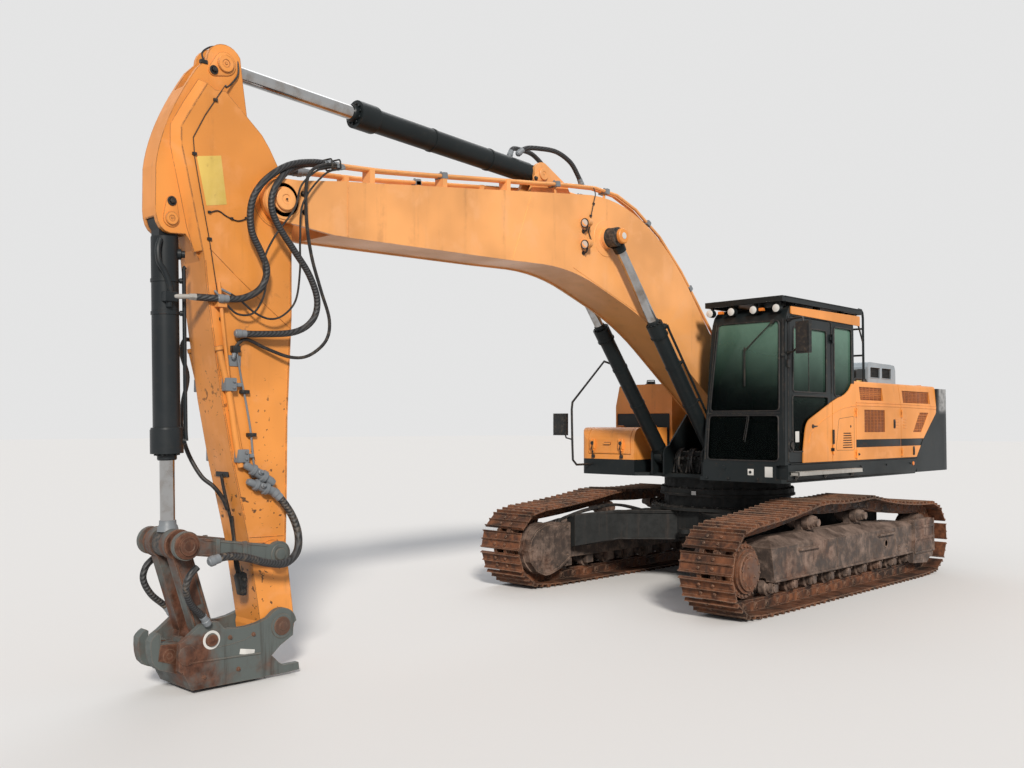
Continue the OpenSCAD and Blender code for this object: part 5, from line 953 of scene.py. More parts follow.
def dress_cab():
    seals = Piece("window_seals", "upper", RUBBER)
    front = lambda y, z: (screen_x(z) - 0.001, y, z)
    gasket(seals, [(0.56, 2.03), (1.41, 2.03), (1.41, 2.985), (0.67, 2.985)], front)
    gasket(seals, [(0.525, 1.5), (1.4, 1.5), (1.4, 1.985), (0.555, 1.985)], front)
    left = lambda x, z: (x, 1.4785, z)
    gasket(seals, sheet((-0.312, 0.125), (2.21, 2.99)), left)
    rear = lambda y, z: (-0.372, y, z)
    gasket(seals, [(0.68, 2.43), (1.38, 2.43), (1.38, 2.96), (0.7, 2.96)], rear)
    right = lambda x, z: right_wall(x, z, -0.002)
    gasket(seals, [(-0.282, 1.95), (1.09, 1.95), (1.06, 2.96), (-0.282, 2.96)], right)
    seals.tube([(1.176, 1.48, 1.49), (1.168, 1.48, 3.03)], 0.006, 8)
    seals.tube([(0.188, 1.48, 2.24), (0.188, 1.48, 3.03)], 0.005, 8)
    pane = Piece("right_pane", "upper", GLASS)
    inner = rounded([(-0.27, 1.962), (1.078, 1.962), (1.048, 2.948), (-0.27, 2.948)], 0.05)
    pane.rings([[right_wall(x, z, proud) for x, z in inner] for proud in (0.01, 0.016)])
    post = Piece("cab_fittings", "upper", PLASTIC)
    # Bars beside and between the front windows
    front_x = screen_x(2.0)
    post.box((front_x - 0.002, front_x + 0.01), (0.53, 1.42), (2.0, 2.014), 0.003)
    post.tube([(1.236, 1.447, 1.5), (1.222, 1.447, 3.0)], 0.007, 8)
    post.tube([(1.24, 1.462, 1.5), (1.226, 1.462, 3.0)], 0.004, 8)
    post.tube(bend([(1.2475, 0.5, 1.5), (1.243, 0.54, 2.0), (1.232, 0.652, 3.0)], 0.02), 0.006, 8)
    post.box((1.15, 1.204), (1.476, 1.5), (2.49, 2.57), 0.005)
    post.lathe((1.205, 1.452, 2.62), (1, 0.3, 0), [(0, 0.02), (0.05, 0.018)], 12)
    # Wipers
    post.lathe((1.236, 1.345, 2.975), X, [(-0.004, 0.026), (0.018, 0.022), (0.02, 0.0)], 14)
    wiper = Piece("wipers", "upper", PLASTIC)
    wiper.tube(bend([(1.25, 1.345, 2.972), (1.256, 1.18, 2.83), (1.258, 1.01, 2.675)],
        0.05), 0.006, 6)
    wiper.box((1.236, 1.25), (0.998, 1.01), (2.3, 2.72), 0.003)
    for base, tip, radius in ((1.06, (1.01, 1.7), 0.006), (1.04, (0.992, 1.72), 0.004)):
        arm = bend([(1.254, base, 1.985), (1.258, base - 0.015, 1.88), (1.258, *tip)], 0.05)
        wiper.tube(arm, radius, 6)
    roof = Piece("roof_fittings", "upper", CHARCOAL)
    for x in (-0.5, 0.05, 0.6, 1.13):
        roof.bolts([(x, y, 3.24) for y in (0.56, 1.42)], Z, 0.022)
    for y in (0.72, 0.98, 1.24):
        roof.box((-0.55, 1.15), about(y, 0.02), (3.2395, 3.246), 0.002)
    for z, radius in ((3.236, 0.006), (3.184, 0.005)):
        roof.tube([(-0.585, 1.4855, z), (1.225, 1.4855, z)], radius, 8)
    lenses = Piece("lamp_lenses", "upper", LENS)
    amber = Piece("small_lamps", "upper", AMBER)
    for i in range(4):
        y = 0.585 + i * 0.2717
        lenses.lathe((1.2695, y, 3.112), X, [(0, 0.041), (0.004, 0.041), (0.006, 0.035),
            (0.01, 0.024), (0.012, 0.0)])
    for y in (0.7, 1.205):
        amber.box((1.205, 1.24), about(y, 0.028), (3.098, 3.132), 0.006)
    # Door: seals, pull, blank plate and coiled strap
    seals = Piece("door_seals", "cab_door", RUBBER)
    gasket(seals, [(0.31, 2.236), (1.075, 2.236), (1.05, 2.93), (0.31, 2.93)], left, 0.04)
    gasket(seals, sheet((0.28, 1.085), (1.6, 2.196)), left, 0.04)
    seals.tube([(0.69, 1.4625, 2.24), (0.69, 1.4625, 2.925)], 0.006, 6)
    seals.lathe((0.659, 1.489, 1.868), Y, [(0, 0.024), (0.006, 0.023), (0.01, 0.012),
        (0.01, 0.0)], 18)
    seals.prism(teardrop((0.65, 1.868), 0.011, (0.56, 1.87), 0.004, 5), "y", 1.4895, 1.497, 0.0015)
    seals.tube([(1.121 + 0.052 * math.cos(a), 1.483, 1.665 + 0.062 * math.sin(a))
                for a in [2 * math.pi * k / 20 for k in range(20)]], 0.006, 6, loop_back=True)
    seals.tube(curve_through([(1.1, 1.484, 1.7), (1.13, 1.488, 1.665),
        (1.105, 1.486, 1.63)]), 0.01, 8)
    Piece("door_plate", "cab_door", WHITE).box((0.915, 0.995), (1.4615, 1.4635),
        (1.7, 1.815), 0.0006)
    silver = Piece("mirror_glasses", "upper", MIRROR)
    a, b = Vector((1.268, 1.652)), Vector((1.305, 1.82))
    way = (b - a).normalized()
    back = Vector((*left_of(way), 0))
    glass = upright(a + way * 0.012, b - way * 0.012, 2.635, 2.935)
    silver.rings([glass, [p + back * 0.003 for p in glass]])
    silver.prism(sheet((-1.61, -1.41), (1.765, 2.005), 0.02), "x", 1.362, 1.365)
    shells = Piece("mirror_shells", "upper", PLASTIC)
    a, b = Vector((1.305, 1.64)), Vector((1.343, 1.808))
    for low, high, pull in ((2.64, 2.93, 0.01), (2.7, 2.87, 0.016)):
        shell = upright(a + way * pull, b - way * pull, low, high)
        shells.rings([[p + back * d for p in shell] for d in (0.002, -0.004 - pull * 0.4)])
    shells.prism(sheet((-1.6, -1.42), (1.775, 1.995), 0.03), "x", 1.404, 1.412, 0.003)
    for z, radius in ((2.985, 0.022), (2.64, 0.02)):
        shells.lathe((1.18, 1.49, z), (0.2, 1, 0), [(0, radius), (0.035, radius - 0.002)], 12)
    levers = Piece("lever_grips", "upper", PLASTIC)
    for s in BOTH:
        y = SEAT_Y + s * 0.356
        levers.lathe((0.596, y, 2.3), (0.2, 0, 1), [(0, 0.018), (0.02, 0.026), (0.09, 0.03),
            (0.12, 0.022), (0.13, 0.0)], 12)
        levers.lathe((0.558, y, 2.125), (0.05, 0, 1), [(0, 0.06), (0.02, 0.055), (0.05, 0.035),
            (0.08, 0.02)], 14)
        levers.lathe((0.86, SEAT_Y + s * 0.09, 2.15), Z,
            [(0, 0.018), (0.09, 0.021), (0.11, 0.014), (0.112, 0.0)], 12)
    rails = Piece("rail_feet", "upper", PLASTIC)
    for y in (0.7, 1.39):
        rails.lathe((-0.815, y, 2.4), Z, [(0, 0.045), (0.008, 0.043), (0.01, 0.022),
            (0.03, 0.018)], 16)
        rails.tube([(-0.815, y, 2.86), (-0.62, y, 3.186)], 0.01, 8)


# Boom

PIPE_LINE = [(6.056, 3.941), (5.597, 3.978), (5.068, 4.04), (4.351, 4.132), (3.621, 4.222),
    (3.2, 4.278), (2.802, 4.318), (2.44, 4.3), (2.12, 4.2), (1.681, 3.96), (1.269, 3.62),
    (0.892, 3.23), (0.6, 2.925)]
PIPE_Y = 0.1775


def pipe_z(x):
    """Height of the boom's pipes at x."""
    for (x1, z1), (x0, z0) in zip(PIPE_LINE, PIPE_LINE[1:]):
        if x0 <= x <= x1:
            return z0 + (z1 - z0) * (x - x0) / (x1 - x0)
    return PIPE_LINE[-1][1]


def pin_cap(piece, pin, y, s, radius, proud=0.016, bolts=0):
    """A turned cap over a pin's end."""
    piece.lathe(on(pin, s * y), (0, s, 0), [(0, radius), (proud * 0.6, radius),
        (proud, radius - proud * 0.4), (proud, radius * 0.45), (proud * 0.6, radius * 0.42),
        (proud * 0.6, radius * 0.16), (proud, radius * 0.14), (proud, 0.0)], 28)
    if bolts:
        piece.bolt_circle(on(pin, s * (y + proud)), (0, s, 0), radius * 0.72, bolts, radius * 0.22)


def dress_boom():
    trim = Piece("boom_trim", "boom", LIT_BOOM_ORANGE)
    for s in BOTH:
        y = s * BOOM_SIDE
        # Weld seams, doubler round the cylinders' boss and the casting's step
        trim.tube([(3.819, y, 4.055), (4.067, y, 3.424)], 0.0045, 6)
        trim.tube([(5.971, s * 0.2645, 3.8), (5.971, s * 0.2645, 3.378)], 0.004, 6)
        trim.lathe(on(BOOM_RAM_HEAD, y), (0, s, 0), [(0, 0.19), (0.006, 0.186), (0.006, 0.115),
            (0.02, 0.11)], 40)
        trim.hoop(on(ARM_PIN, s * 0.264), (0, s, 0), 0.128, 0.15, 0.006, 40)
        pin_cap(trim, ARM_PIN, 0.288, s, 0.084, 0.014)
        pin_cap(trim, ARM_RAM_FOOT, 0.112, s, 0.06, 0.01)
        trim.prism(teardrop(ARM_RAM_FOOT, 0.062, (3.6, 4.29), 0.03, 8), "y",
                   s * 0.1, s * 0.108, 0.002)
        pin_cap(trim, BOOM_FOOT, 0.329, s, 0.085, 0.014, 6)
        # Lower flange beside the bend
        trim.tube(in_plane(s * 0.2535, [(1.55, 2.748), (1.936, 3.008), (2.4, 3.168), (2.8, 3.302),
            (3.204, 3.444)]), 0.003, 6)
    marks = Piece("boom_bolts", "boom", PLASTIC)
    for s in BOTH:
        marks.bolts([(6.395, s * 0.264, 3.64), (6.38, s * 0.264, 3.5)], (0, s, 0), 0.03)
        marks.bolt((3.6, s * 0.108, 4.29), (0, s, 0), 0.03)
        marks.lathe(on(ARM_PIN, s * 0.302), (0, s, 0),
            [(0, 0.008), (0.012, 0.006), (0.014, 0.0)], 8)
    clamps = Piece("pipe_clamps", "boom", GREY)
    feet = Piece("pipe_feet", "boom", LIT_BOOM_ORANGE)
    clamp = [(-0.03, -0.026), (0.03, -0.026), (0.03, 0.022), (0.022, 0.028), (-0.022, 0.028),
        (-0.03, 0.022)]
    for x in (4.9, 3.4, 2.62, 1.9, 1.1):
        lean = math.atan2(pipe_z(x + 0.02) - pipe_z(x - 0.02), 0.04)
        along = Vector((math.cos(lean), 0, math.sin(lean)))
        up = Vector((-math.sin(lean), 0, math.cos(lean)))
        for s in BOTH:
            middle = Vector((x, s * PIPE_Y, pipe_z(x)))
            clamps.rings([[Vector((x, s * y, pipe_z(x))) + along * u + up * v for u, v in clamp]
                          for y in (0.124, 0.231)])
            clamps.bolt(middle + up * 0.028, up, 0.02)
            if x < 4:
                feet.tube([middle, middle - up * (0.115 if x > 2 else 0.16)], 0.014, 8)
    lamps = Piece("boom_lamp_lenses", "boom", LENS)
    shells = Piece("boom_lamp_shells", "boom", PLASTIC)
    way = Vector((math.cos(math.radians(12)), 0, -math.sin(math.radians(12))))
    for z in (3.913, 3.696):
        tip = Vector((3.02, 0.307, z)) + way * 0.07
        lamps.lathe(tip, way, [(-0.002, 0.04), (0.004, 0.038), (0.006, 0.0)])
        shells.lathe(tip - way * 0.004, way, [(0, 0.047), (0.01, 0.047), (0.01, 0.041),
            (0.002, 0.041)], 28)
        shells.lathe(Vector((3.02, 0.307, z)), -way, [(0, 0.043), (0.018, 0.034), (0.03, 0.014),
            (0.034, 0.0)])
        shells.tube(bend([(3.05, 0.307, z - 0.046), (3.05, 0.3, z - 0.085),
            (3.05, 0.262, z - 0.09)], 0.02), 0.009, 8)
        shells.lathe((3.05, 0.252, z - 0.09), Y, [(0, 0.022), (0.01, 0.02)], 14)
    cable = Piece("lamp_cable", "boom", RUBBER)
    cable.tube(curve_through([(2.985, 0.307, 3.7), (2.955, 0.275, 3.76), (2.975, 0.262, 3.84),
        (2.985, 0.3, 3.905), (2.95, 0.27, 3.97), (2.915, 0.26, 4.06), (2.885, 0.259, 4.16),
        (2.86, 0.256, 4.235), (2.84, 0.215, 4.315)]), 0.0055, 6)
    for x, z in ((2.938, 4.0), (2.892, 4.13)):
        cable.box(about(x, 0.012), (0.252, 0.268), about(z, 0.01), 0.003)
    flanges = Piece("pipe_ends", "boom", GREY)
    for y in (0.205, 0.15, -0.15, -0.205):
        flanges.lathe((6.03, y, 3.944), (0.99, 0, -0.08),
            [(0, 0.024), (0.02, 0.026), (0.022, 0.022), (0.04, 0.022), (0.042, 0.027),
            (0.075, 0.027), (0.08, 0.019)], 8)
        flanges.lathe((0.62, y, 2.948), (-0.65, 0, -0.75),
            [(0, 0.024), (0.03, 0.026), (0.032, 0.02), (0.06, 0.02)], 8)


def hose(name, points, radius, bent, material=HOSE, sides=12, fitting=(True, True)):
    """A hose with crimped ends. When bent is given, as a pair of bodies and two points, the hose is
    left on no body and the bodies and points are not used; with None it stays on the boom."""
    path = curve_through(points, 7)
    body = bent[0][0] if bent else "boom"
    Piece(name, body, material, bent).tube(path, radius, sides)
    if not any(fitting):
        return
    ends = Piece(name + "_ends", body, GREY, bent)
    for crimped, a, b in ((fitting[0], path[0], path[2]), (fitting[1], path[-1], path[-3])):
        if crimped:
            ends.lathe(a - (b - a).normalized() * 0.012, b - a,
                [(0, radius * 0.8), (0.01, radius * 1.05), (0.012, radius * 1.25),
                (0.045, radius * 1.28), (0.05, radius * 1.12), (0.085, radius * 1.15),
                (0.09, radius * 0.9)], 12)


def run_boom_hoses():
    bent = (("boom", "arm"), (6.3, 0, 3.85), (6.85, 0, 3.1))
    hose("arm_hose_front", [(6.1, 0.205, 3.937), (6.28, 0.225, 3.915), (6.5, 0.262, 3.85),
        (6.675, 0.285, 3.742), (6.793, 0.285, 3.62), (6.85, 0.275, 3.48), (6.838, 0.262, 3.299),
        (6.752, 0.255, 3.148), (6.7, 0.255, 3.02), (6.748, 0.25, 2.88), (6.888, 0.235, 2.795),
        (7.07, 0.215, 2.779)], 0.026, bent)
    hose("arm_hose_rear", [(6.1, 0.15, 3.937), (6.3, 0.17, 3.905), (6.52, 0.25, 3.8),
        (6.66, 0.3, 3.65), (6.7, 0.305, 3.505), (6.64, 0.3, 3.364), (6.493, 0.29, 3.196),
        (6.347, 0.285, 3.021), (6.271, 0.285, 2.836), (6.306, 0.28, 2.679), (6.458, 0.265, 2.576),
        (6.744, 0.245, 2.542), (6.926, 0.22, 2.537)], 0.025, bent)
    hose("arm_line_back", [(6.02, 0.262, 3.925), (6.2, 0.29, 3.9), (6.38, 0.31, 3.78),
        (6.4, 0.315, 3.477), (6.349, 0.312, 3.175), (6.254, 0.305, 2.915), (6.167, 0.3, 2.689),
        (6.19, 0.29, 2.525), (6.33, 0.27, 2.405), (6.48, 0.245, 2.385), (6.674, 0.215, 2.442),
        (6.83, 0.2, 2.5), (6.905, 0.192, 2.45), (6.93, 0.19, 2.36)], 0.013, bent, RUBBER, 8)
    hose("pilot_line_a", [(6.02, 0.27, 3.915), (6.25, 0.3, 3.86), (6.44, 0.318, 3.7),
        (6.502, 0.31, 3.502), (6.66, 0.29, 3.27), (6.739, 0.275, 3.077), (6.715, 0.26, 2.872),
        (6.792, 0.245, 2.702), (6.916, 0.225, 2.677), (7.014, 0.205, 2.755), (7.08, 0.19, 2.83)],
        0.008, bent, RUBBER, 8)
    hose("pilot_line_b", [(6.02, 0.276, 3.905), (6.22, 0.3, 3.82), (6.43, 0.32, 3.56),
        (6.445, 0.305, 3.281), (6.433, 0.29, 3.052), (6.457, 0.275, 2.821), (6.553, 0.262, 2.699),
        (6.665, 0.25, 2.66), (6.792, 0.24, 2.7), (6.917, 0.222, 2.793), (7.04, 0.2, 2.85)], 0.008,
        bent, RUBBER, 8)
    # The same pair on the far side
    hose("arm_hose_far_front", [(6.1, -0.205, 3.937), (6.28, -0.225, 3.915), (6.5, -0.262, 3.85),
        (6.675, -0.28, 3.72), (6.8, -0.27, 3.52), (6.8, -0.25, 3.25), (6.74, -0.235, 3.0),
        (6.8, -0.225, 2.8), (6.93, -0.215, 2.64), (7.02, -0.205, 2.5)], 0.026, bent)
    hose("arm_hose_far_rear", [(6.1, -0.15, 3.937), (6.3, -0.17, 3.905), (6.52, -0.25, 3.8),
        (6.62, -0.3, 3.6), (6.56, -0.3, 3.3), (6.45, -0.29, 3.0), (6.48, -0.28, 2.72),
        (6.62, -0.26, 2.56), (6.8, -0.23, 2.52), (6.93, -0.205, 2.44)], 0.025, bent)
    # Ties round the bundle
    ties = Piece("hose_ties", "boom", PLASTIC)
    for x, z in ((6.09, 3.933), (6.17, 3.925)):
        ties.tube(bend([(x, 0.13, z + 0.034), (x, 0.315, z + 0.024), (x, 0.33, z - 0.05),
            (x, 0.128, z - 0.034), (x, 0.128, z + 0.03)], 0.02), 0.007, 6)
    # Arm cylinder's hoses, from its foot back to the boom's pipes
    for k, (y, lift) in enumerate(((0.055, 0.0), (-0.055, 0.03))):
        hose("stick_hose_%d" % k, [(3.8, y, 4.5), (3.72, y * 1.6, 4.565 + lift),
            (3.56, y * 2.2, 4.59 + lift), (3.35, y * 2.9, 4.59 + lift), (3.15, y * 3.1, 4.52),
            (3.02, y * 3.0, 4.4), (2.96, y * 2.9, 4.32)], 0.024,
            (("boom", "arm_ram"), (3.35, 0, 4.5), (3.65, 0, 4.5)))
    # Loops over the boom's foot
    for k, y in enumerate((0.205, 0.15, -0.15, -0.205)):
        hose("foot_hose_%d" % k, [(0.58, y, 2.9), (0.48, y, 2.78), (0.3, y * 1.02, 2.64),
            (0.08, y * 1.0, 2.54), (-0.15, y * 0.95, 2.4), (-0.29, y * 0.9, 2.18),
            (-0.33, y * 0.9, 1.95), (-0.335, y * 0.9, 1.7)], 0.024,
            (("upper", "boom"), (-0.15, 0, 2.3), (0.3, 0, 2.65)))
    # Loop to the far boom cylinder
    hose("lift_hose_far", [(0.93, -0.235, 3.0), (0.98, -0.28, 2.98), (1.03, -0.33, 2.9),
        (1.02, -0.38, 2.78), (0.94, -0.4, 2.72), (0.88, -0.37, 2.78), (0.89, -0.33, 2.9),
        (0.95, -0.262, 2.96)], 0.018, None, RUBBER, 10)


def dress_foot():
    """Valves, swivel and hoses in the well in front of the boom's foot."""
    blocks = Piece("valve_block", "upper", UNDER)
    blocks.prism(sheet((0.48, 0.74), (-0.2, 0.2), 0.02), "z", 1.312, 1.56, 0.008)
    for k in range(5):
        y = -0.16 + k * 0.08
        blocks.lathe((0.738, y, 1.49), X, [(0, 0.03), (0.05, 0.028), (0.055, 0.02), (0.1, 0.02),
            (0.104, 0.012)], 14)
        blocks.lathe((0.738, y, 1.4), X, [(0, 0.026), (0.03, 0.025), (0.034, 0.014)], 6)
    nuts = Piece("valve_nuts", "upper", ALLOY)
    tubes = Piece("foot_lines", "upper", RUBBER)
    rng = random.Random(7)
    for k in range(9):
        y = -0.215 + k * 0.054
        x = 0.6 + 0.05 * (k % 3)
        lift = 1.59 + 0.012 * ((k * 5) % 4) / 3 + rng.uniform(-0.004, 0.004)
        nuts.lathe((x, y, 1.556), Z, [(0, 0.022), (0.016, 0.022), (0.018, 0.017),
            (0.026, 0.016)], 6)
        tubes.tube(curve_through([(x, y, 1.56), (x + 0.02, y, 1.585), (x + 0.06, y * 1.02, lift),
            (x + 0.11, y * 1.05, lift - 0.03), (x + 0.15, y * 1.08, 1.5), (x + 0.16, y * 1.1, 1.41),
            (0.8, y * 1.1, 1.316)]), 0.014, 8)
    for k in range(6):
        y = -0.2 + k * 0.08
        tubes.tube(curve_through([(0.5, y, 1.46), (0.42, y, 1.52), (0.32, y * 0.8, 1.55),
            (0.18, y * 0.7, 1.54), (0.04, y * 0.7, 1.47), (-0.05, y * 0.7, 1.36)]), 0.017, 8)
    nuts.lathe((0.3, 0.0, 1.31), Z, [(0, 0.13), (0.1, 0.13), (0.11, 0.1), (0.22, 0.1), (0.23, 0.07),
        (0.24, 0.0)], 28)
    caps = Piece("ram_foot_caps", "upper", CHARCOAL)
    for s in BOTH:
        pin_cap(caps, BOOM_RAM_FOOT, 0.458, s, 0.062, 0.012)


# Arm

BEVEL = [(7.092, 4.296), (7.155, 4.332), (7.262, 4.146), (7.35, 3.98), (7.347, 3.858),
    (7.304, 3.68), (7.261, 3.503), (7.213, 3.296), (7.172, 3.118)]
GREASE = [(7.016, 4.35), (7.094, 4.224), (7.172, 4.097), (7.262, 3.916), (7.248, 3.769),
    (7.202, 3.548), (7.126, 3.206), (7.092, 3.023), (7.022, 2.638), (6.994, 2.415)]


def dress_arm():
    trim = Piece("arm_trim", "arm", WORN_ORANGE)
    for s in BOTH:
        # Bevel between the box and the cylinders' bracket, with the weld at its foot
        loops = []
        for i, (x, z) in enumerate(BEVEL):
            a, b = Vector(BEVEL[max(i - 1, 0)]), Vector(BEVEL[min(i + 1, len(BEVEL) - 1)])
            way = (b - a).normalized()
            out = left_of(way) if i else Vector((0.3, 0.9)).normalized()
            wide = 0.052 if 0 < i < len(BEVEL) - 1 else 0.03
            p = Vector((x, z))
            loops.append([on(p + out * d, s * y) for d, y in ((0, 0.166), (-0.004, 0.1705),
                (0.004, 0.169), (wide, 0.1005), (wide + 0.008, 0.0985), (0, 0.098))])
        trim.rings(loops)
        # Seams along the front and rear corners, and welds across
        trim.tube(in_plane(s * 0.1702, [(6.8, 1.18), (6.9, 1.58), (7.0, 2.058), (7.116, 2.768),
            (7.15, 3.05)]), 0.004, 6)
        trim.tube(in_plane(s * 0.1702, [(6.462, 1.0), (6.462, 1.94), (6.436, 2.7),
            (6.444, 3.35)]), 0.004, 6)
        trim.tube(in_plane(s * 0.1706, [(6.758, 1.0), (6.6, 0.996), (6.465, 0.994)]), 0.005, 6)
        trim.tube(in_plane(s * 0.1706, [(6.768, 1.045), (6.6, 1.04), (6.465, 1.038)]), 0.003, 6)
        trim.tube(in_plane(s * 0.1706, [(7.12, 3.14), (6.9, 2.96), (6.64, 2.76),
            (6.45, 2.62)]), 0.003, 6)
        # Plates that keep the pins
        trim.prism(teardrop(ARM_TOP, 0.088, (7.072, 4.467), 0.042), "y", s * 0.099,
            s * 0.107, 0.002)
        trim.prism(teardrop(COUPLER_RAM_FOOT, 0.062, (7.382, 3.45), 0.04), "y", s * 0.099,
            s * 0.107, 0.002)
        pin_cap(trim, ARM_TOP, 0.1115, s, 0.066, 0.01)
        pin_cap(trim, COUPLER_RAM_FOOT, 0.1115, s, 0.048, 0.008)
        trim.hoop(on(ARM_PIN, s * 0.169), (0, s, 0), 0.185, 0.205, 0.005, 36)
    dark = Piece("pin_bolts", "arm", PLASTIC)
    lines = Piece("grease_lines", "arm", RUBBER)
    for s in BOTH:
        for x, z in ((7.072, 4.467), (7.382, 3.45)):
            dark.hoop((x, s * 0.107, z), (0, s, 0), 0.02, 0.034, 0.008, 20)
            dark.bolt((x, s * 0.107, z), (0, s, 0), 0.034)
        lines.tube(in_plane(s * 0.1745, GREASE), 0.0035, 6)
        for x, z in ((7.094, 4.224), (7.252, 3.8), (7.126, 3.206), (7.022, 2.638)):
            dark.box(about(x, 0.016), (s * 0.169, s * 0.184), about(z, 0.011), 0.003)
        lines.tube(curve_through(in_plane(s * 0.176, [(7.13, 3.395), (7.06, 3.42), (6.99, 3.39),
            (6.9, 3.37), (6.82, 3.4)])), 0.005, 6)
        for x, z in ((7.13, 3.4), (6.95, 3.38), (6.83, 3.4)):
            dark.box(about(x, 0.01), (s * 0.169, s * 0.184), about(z, 0.009), 0.002)
    lines.tube(curve_through([(7.15, 0.095, 4.525), (7.158, 0.09, 4.57), (7.115, 0.07, 4.62),
        (7.043, 0.05, 4.662), (6.945, 0.06, 4.662), (6.877, 0.09, 4.6), (6.876, 0.112, 4.486),
        (6.93, 0.118, 4.4), (6.985, 0.14, 4.35), (7.01, 0.172, 4.35)]), 0.007, 8)
    dark.box((7.12, 7.175), (0.08, 0.108), (4.495, 4.525), 0.005)
    Piece("yellow_blank_plate", "arm", YELLOW).prism(
        [(7.232, 3.787), (7.04, 3.828), (6.988, 3.478), (7.15, 3.444)][::-1], "y", 0.17,
        0.1715, 0.0005)
    # Feed pipes down the arm's sides with their blocks and thin lines
    pipes = Piece("arm_feed_pipes", "arm", WORN_ORANGE)
    blocks = Piece("line_blocks", "arm", GREY)
    thin = Piece("thin_lines", "arm", GREY)
    for s in BOTH:
        pipes.tube(curve_through(in_plane(s * 0.198, [(7.052, 2.42), (7.02, 2.304), (6.957, 2.053),
            (6.905, 1.764), (6.862, 1.565)])), 0.024, 12)
        pipes.lathe((7.056, s * 0.198, 2.44), (-0.25, 0, -1),
            [(0, 0.03), (0.03, 0.031), (0.034, 0.026)], 12)
        for x, z in ((6.966, 2.165), (6.857, 1.647)):
            blocks.box(about(x, 0.044), (s * ARM_SIDE, s * 0.23), about(z, 0.048), 0.006)
            blocks.bolts([(x - 0.02, s * 0.23, z + 0.022), (x - 0.02, s * 0.23, z - 0.022)],
                (0, s, 0), 0.018)
            blocks.box((x - 0.1, x - 0.04), (s * ARM_SIDE, s * 0.205), about(z, 0.014), 0.004)
        thin.tube(curve_through(in_plane(s * 0.186, [(6.905, 2.43), (6.885, 2.332), (6.859, 2.202),
            (6.832, 2.092), (6.779, 1.836), (6.75, 1.6), (6.732, 1.53)])), 0.008, 8)
        thin.prism(sheet((6.86, 6.99), (2.3, 2.38), 0.01), "y", s * 0.169, s * 0.177, 0.002)
    clips = Piece("line_clips", "arm", PLASTIC)
    for s in BOTH:
        for x, z in ((6.838, 2.115), (6.776, 1.8)):
            clips.box((x - 0.04, x + 0.03), (s * ARM_SIDE, s * 0.202), about(z, 0.014), 0.004)
    clips.box((6.885, 6.945), (0.17, 0.215), (2.4, 2.45), 0.006)
    # Shut-off valves with their flanges
    valve = Piece("arm_valves", "arm", GREY)
    for s in BOTH:
        for a, b in (((6.845, 1.59), (6.6, 1.44)), ((6.815, 1.462), (6.585, 1.372))):
            p, q = Vector((a[0], s * 0.212, a[1])), Vector((b[0], s * 0.222, b[1]))
            long = (q - p).length
            valve.lathe(p, q - p, [(0, 0.02), (0.02, 0.028), (long * 0.25, 0.028),
                (long * 0.27, 0.042), (long * 0.34, 0.044), (long * 0.36, 0.034),
                (long * 0.58, 0.036), (long * 0.6, 0.048), (long * 0.7, 0.048),
                (long * 0.72, 0.032), (long * 0.9, 0.034), (long, 0.026)], 14)
            m = p.lerp(q, 0.47)
            valve.lathe(m, (0, s, 0.2), [(0, 0.02), (0.045, 0.02), (0.05, 0.014),
                (0.062, 0.012)], 12)
            valve.bolt_circle(p.lerp(q, 0.3), q - p, 0.034, 4, 0.014)
            valve.box(about(m.x, 0.03), (s * ARM_SIDE, s * 0.19), about(m.z, 0.035), 0.004)
    # Line manifold low on the arm's front
    low = Piece("low_manifold", "arm", PLASTIC)
    low.prism(rounded([(6.76, 0.62), (6.8, 0.62), (6.83, 0.76), (6.8, 0.8), (6.76, 0.78)], 0.012),
        "y", 0.06, 0.14, 0.006)
    for k in range(3):
        low.lathe((6.795, 0.138, 0.655 + k * 0.045), (0.1, 1, 0),
            [(0, 0.016), (0.02, 0.016), (0.022, 0.011), (0.034, 0.011)], 6)
    low.box((6.85, 6.9), (-0.09, 0.09), (1.49, 1.53), 0.006)
    for y in (0.075, 0.1, 0.125):
        low.tube(curve_through([(6.805, y, 0.775), (6.825, y, 0.84), (6.822, y * 0.7, 0.93),
            (6.822, y * 0.4, 1.06), (6.838, y * 0.4, 1.2)]), 0.008, 8)
    low.tube(curve_through([(6.905, 0.0, 1.51), (6.89, 0.0, 1.43), (6.862, 0.01, 1.3),
        (6.835, 0.02, 1.18), (6.818, 0.03, 1.06), (6.805, 0.045, 0.93),
        (6.79, 0.065, 0.8)]), 0.012, 8)


# Cylinders

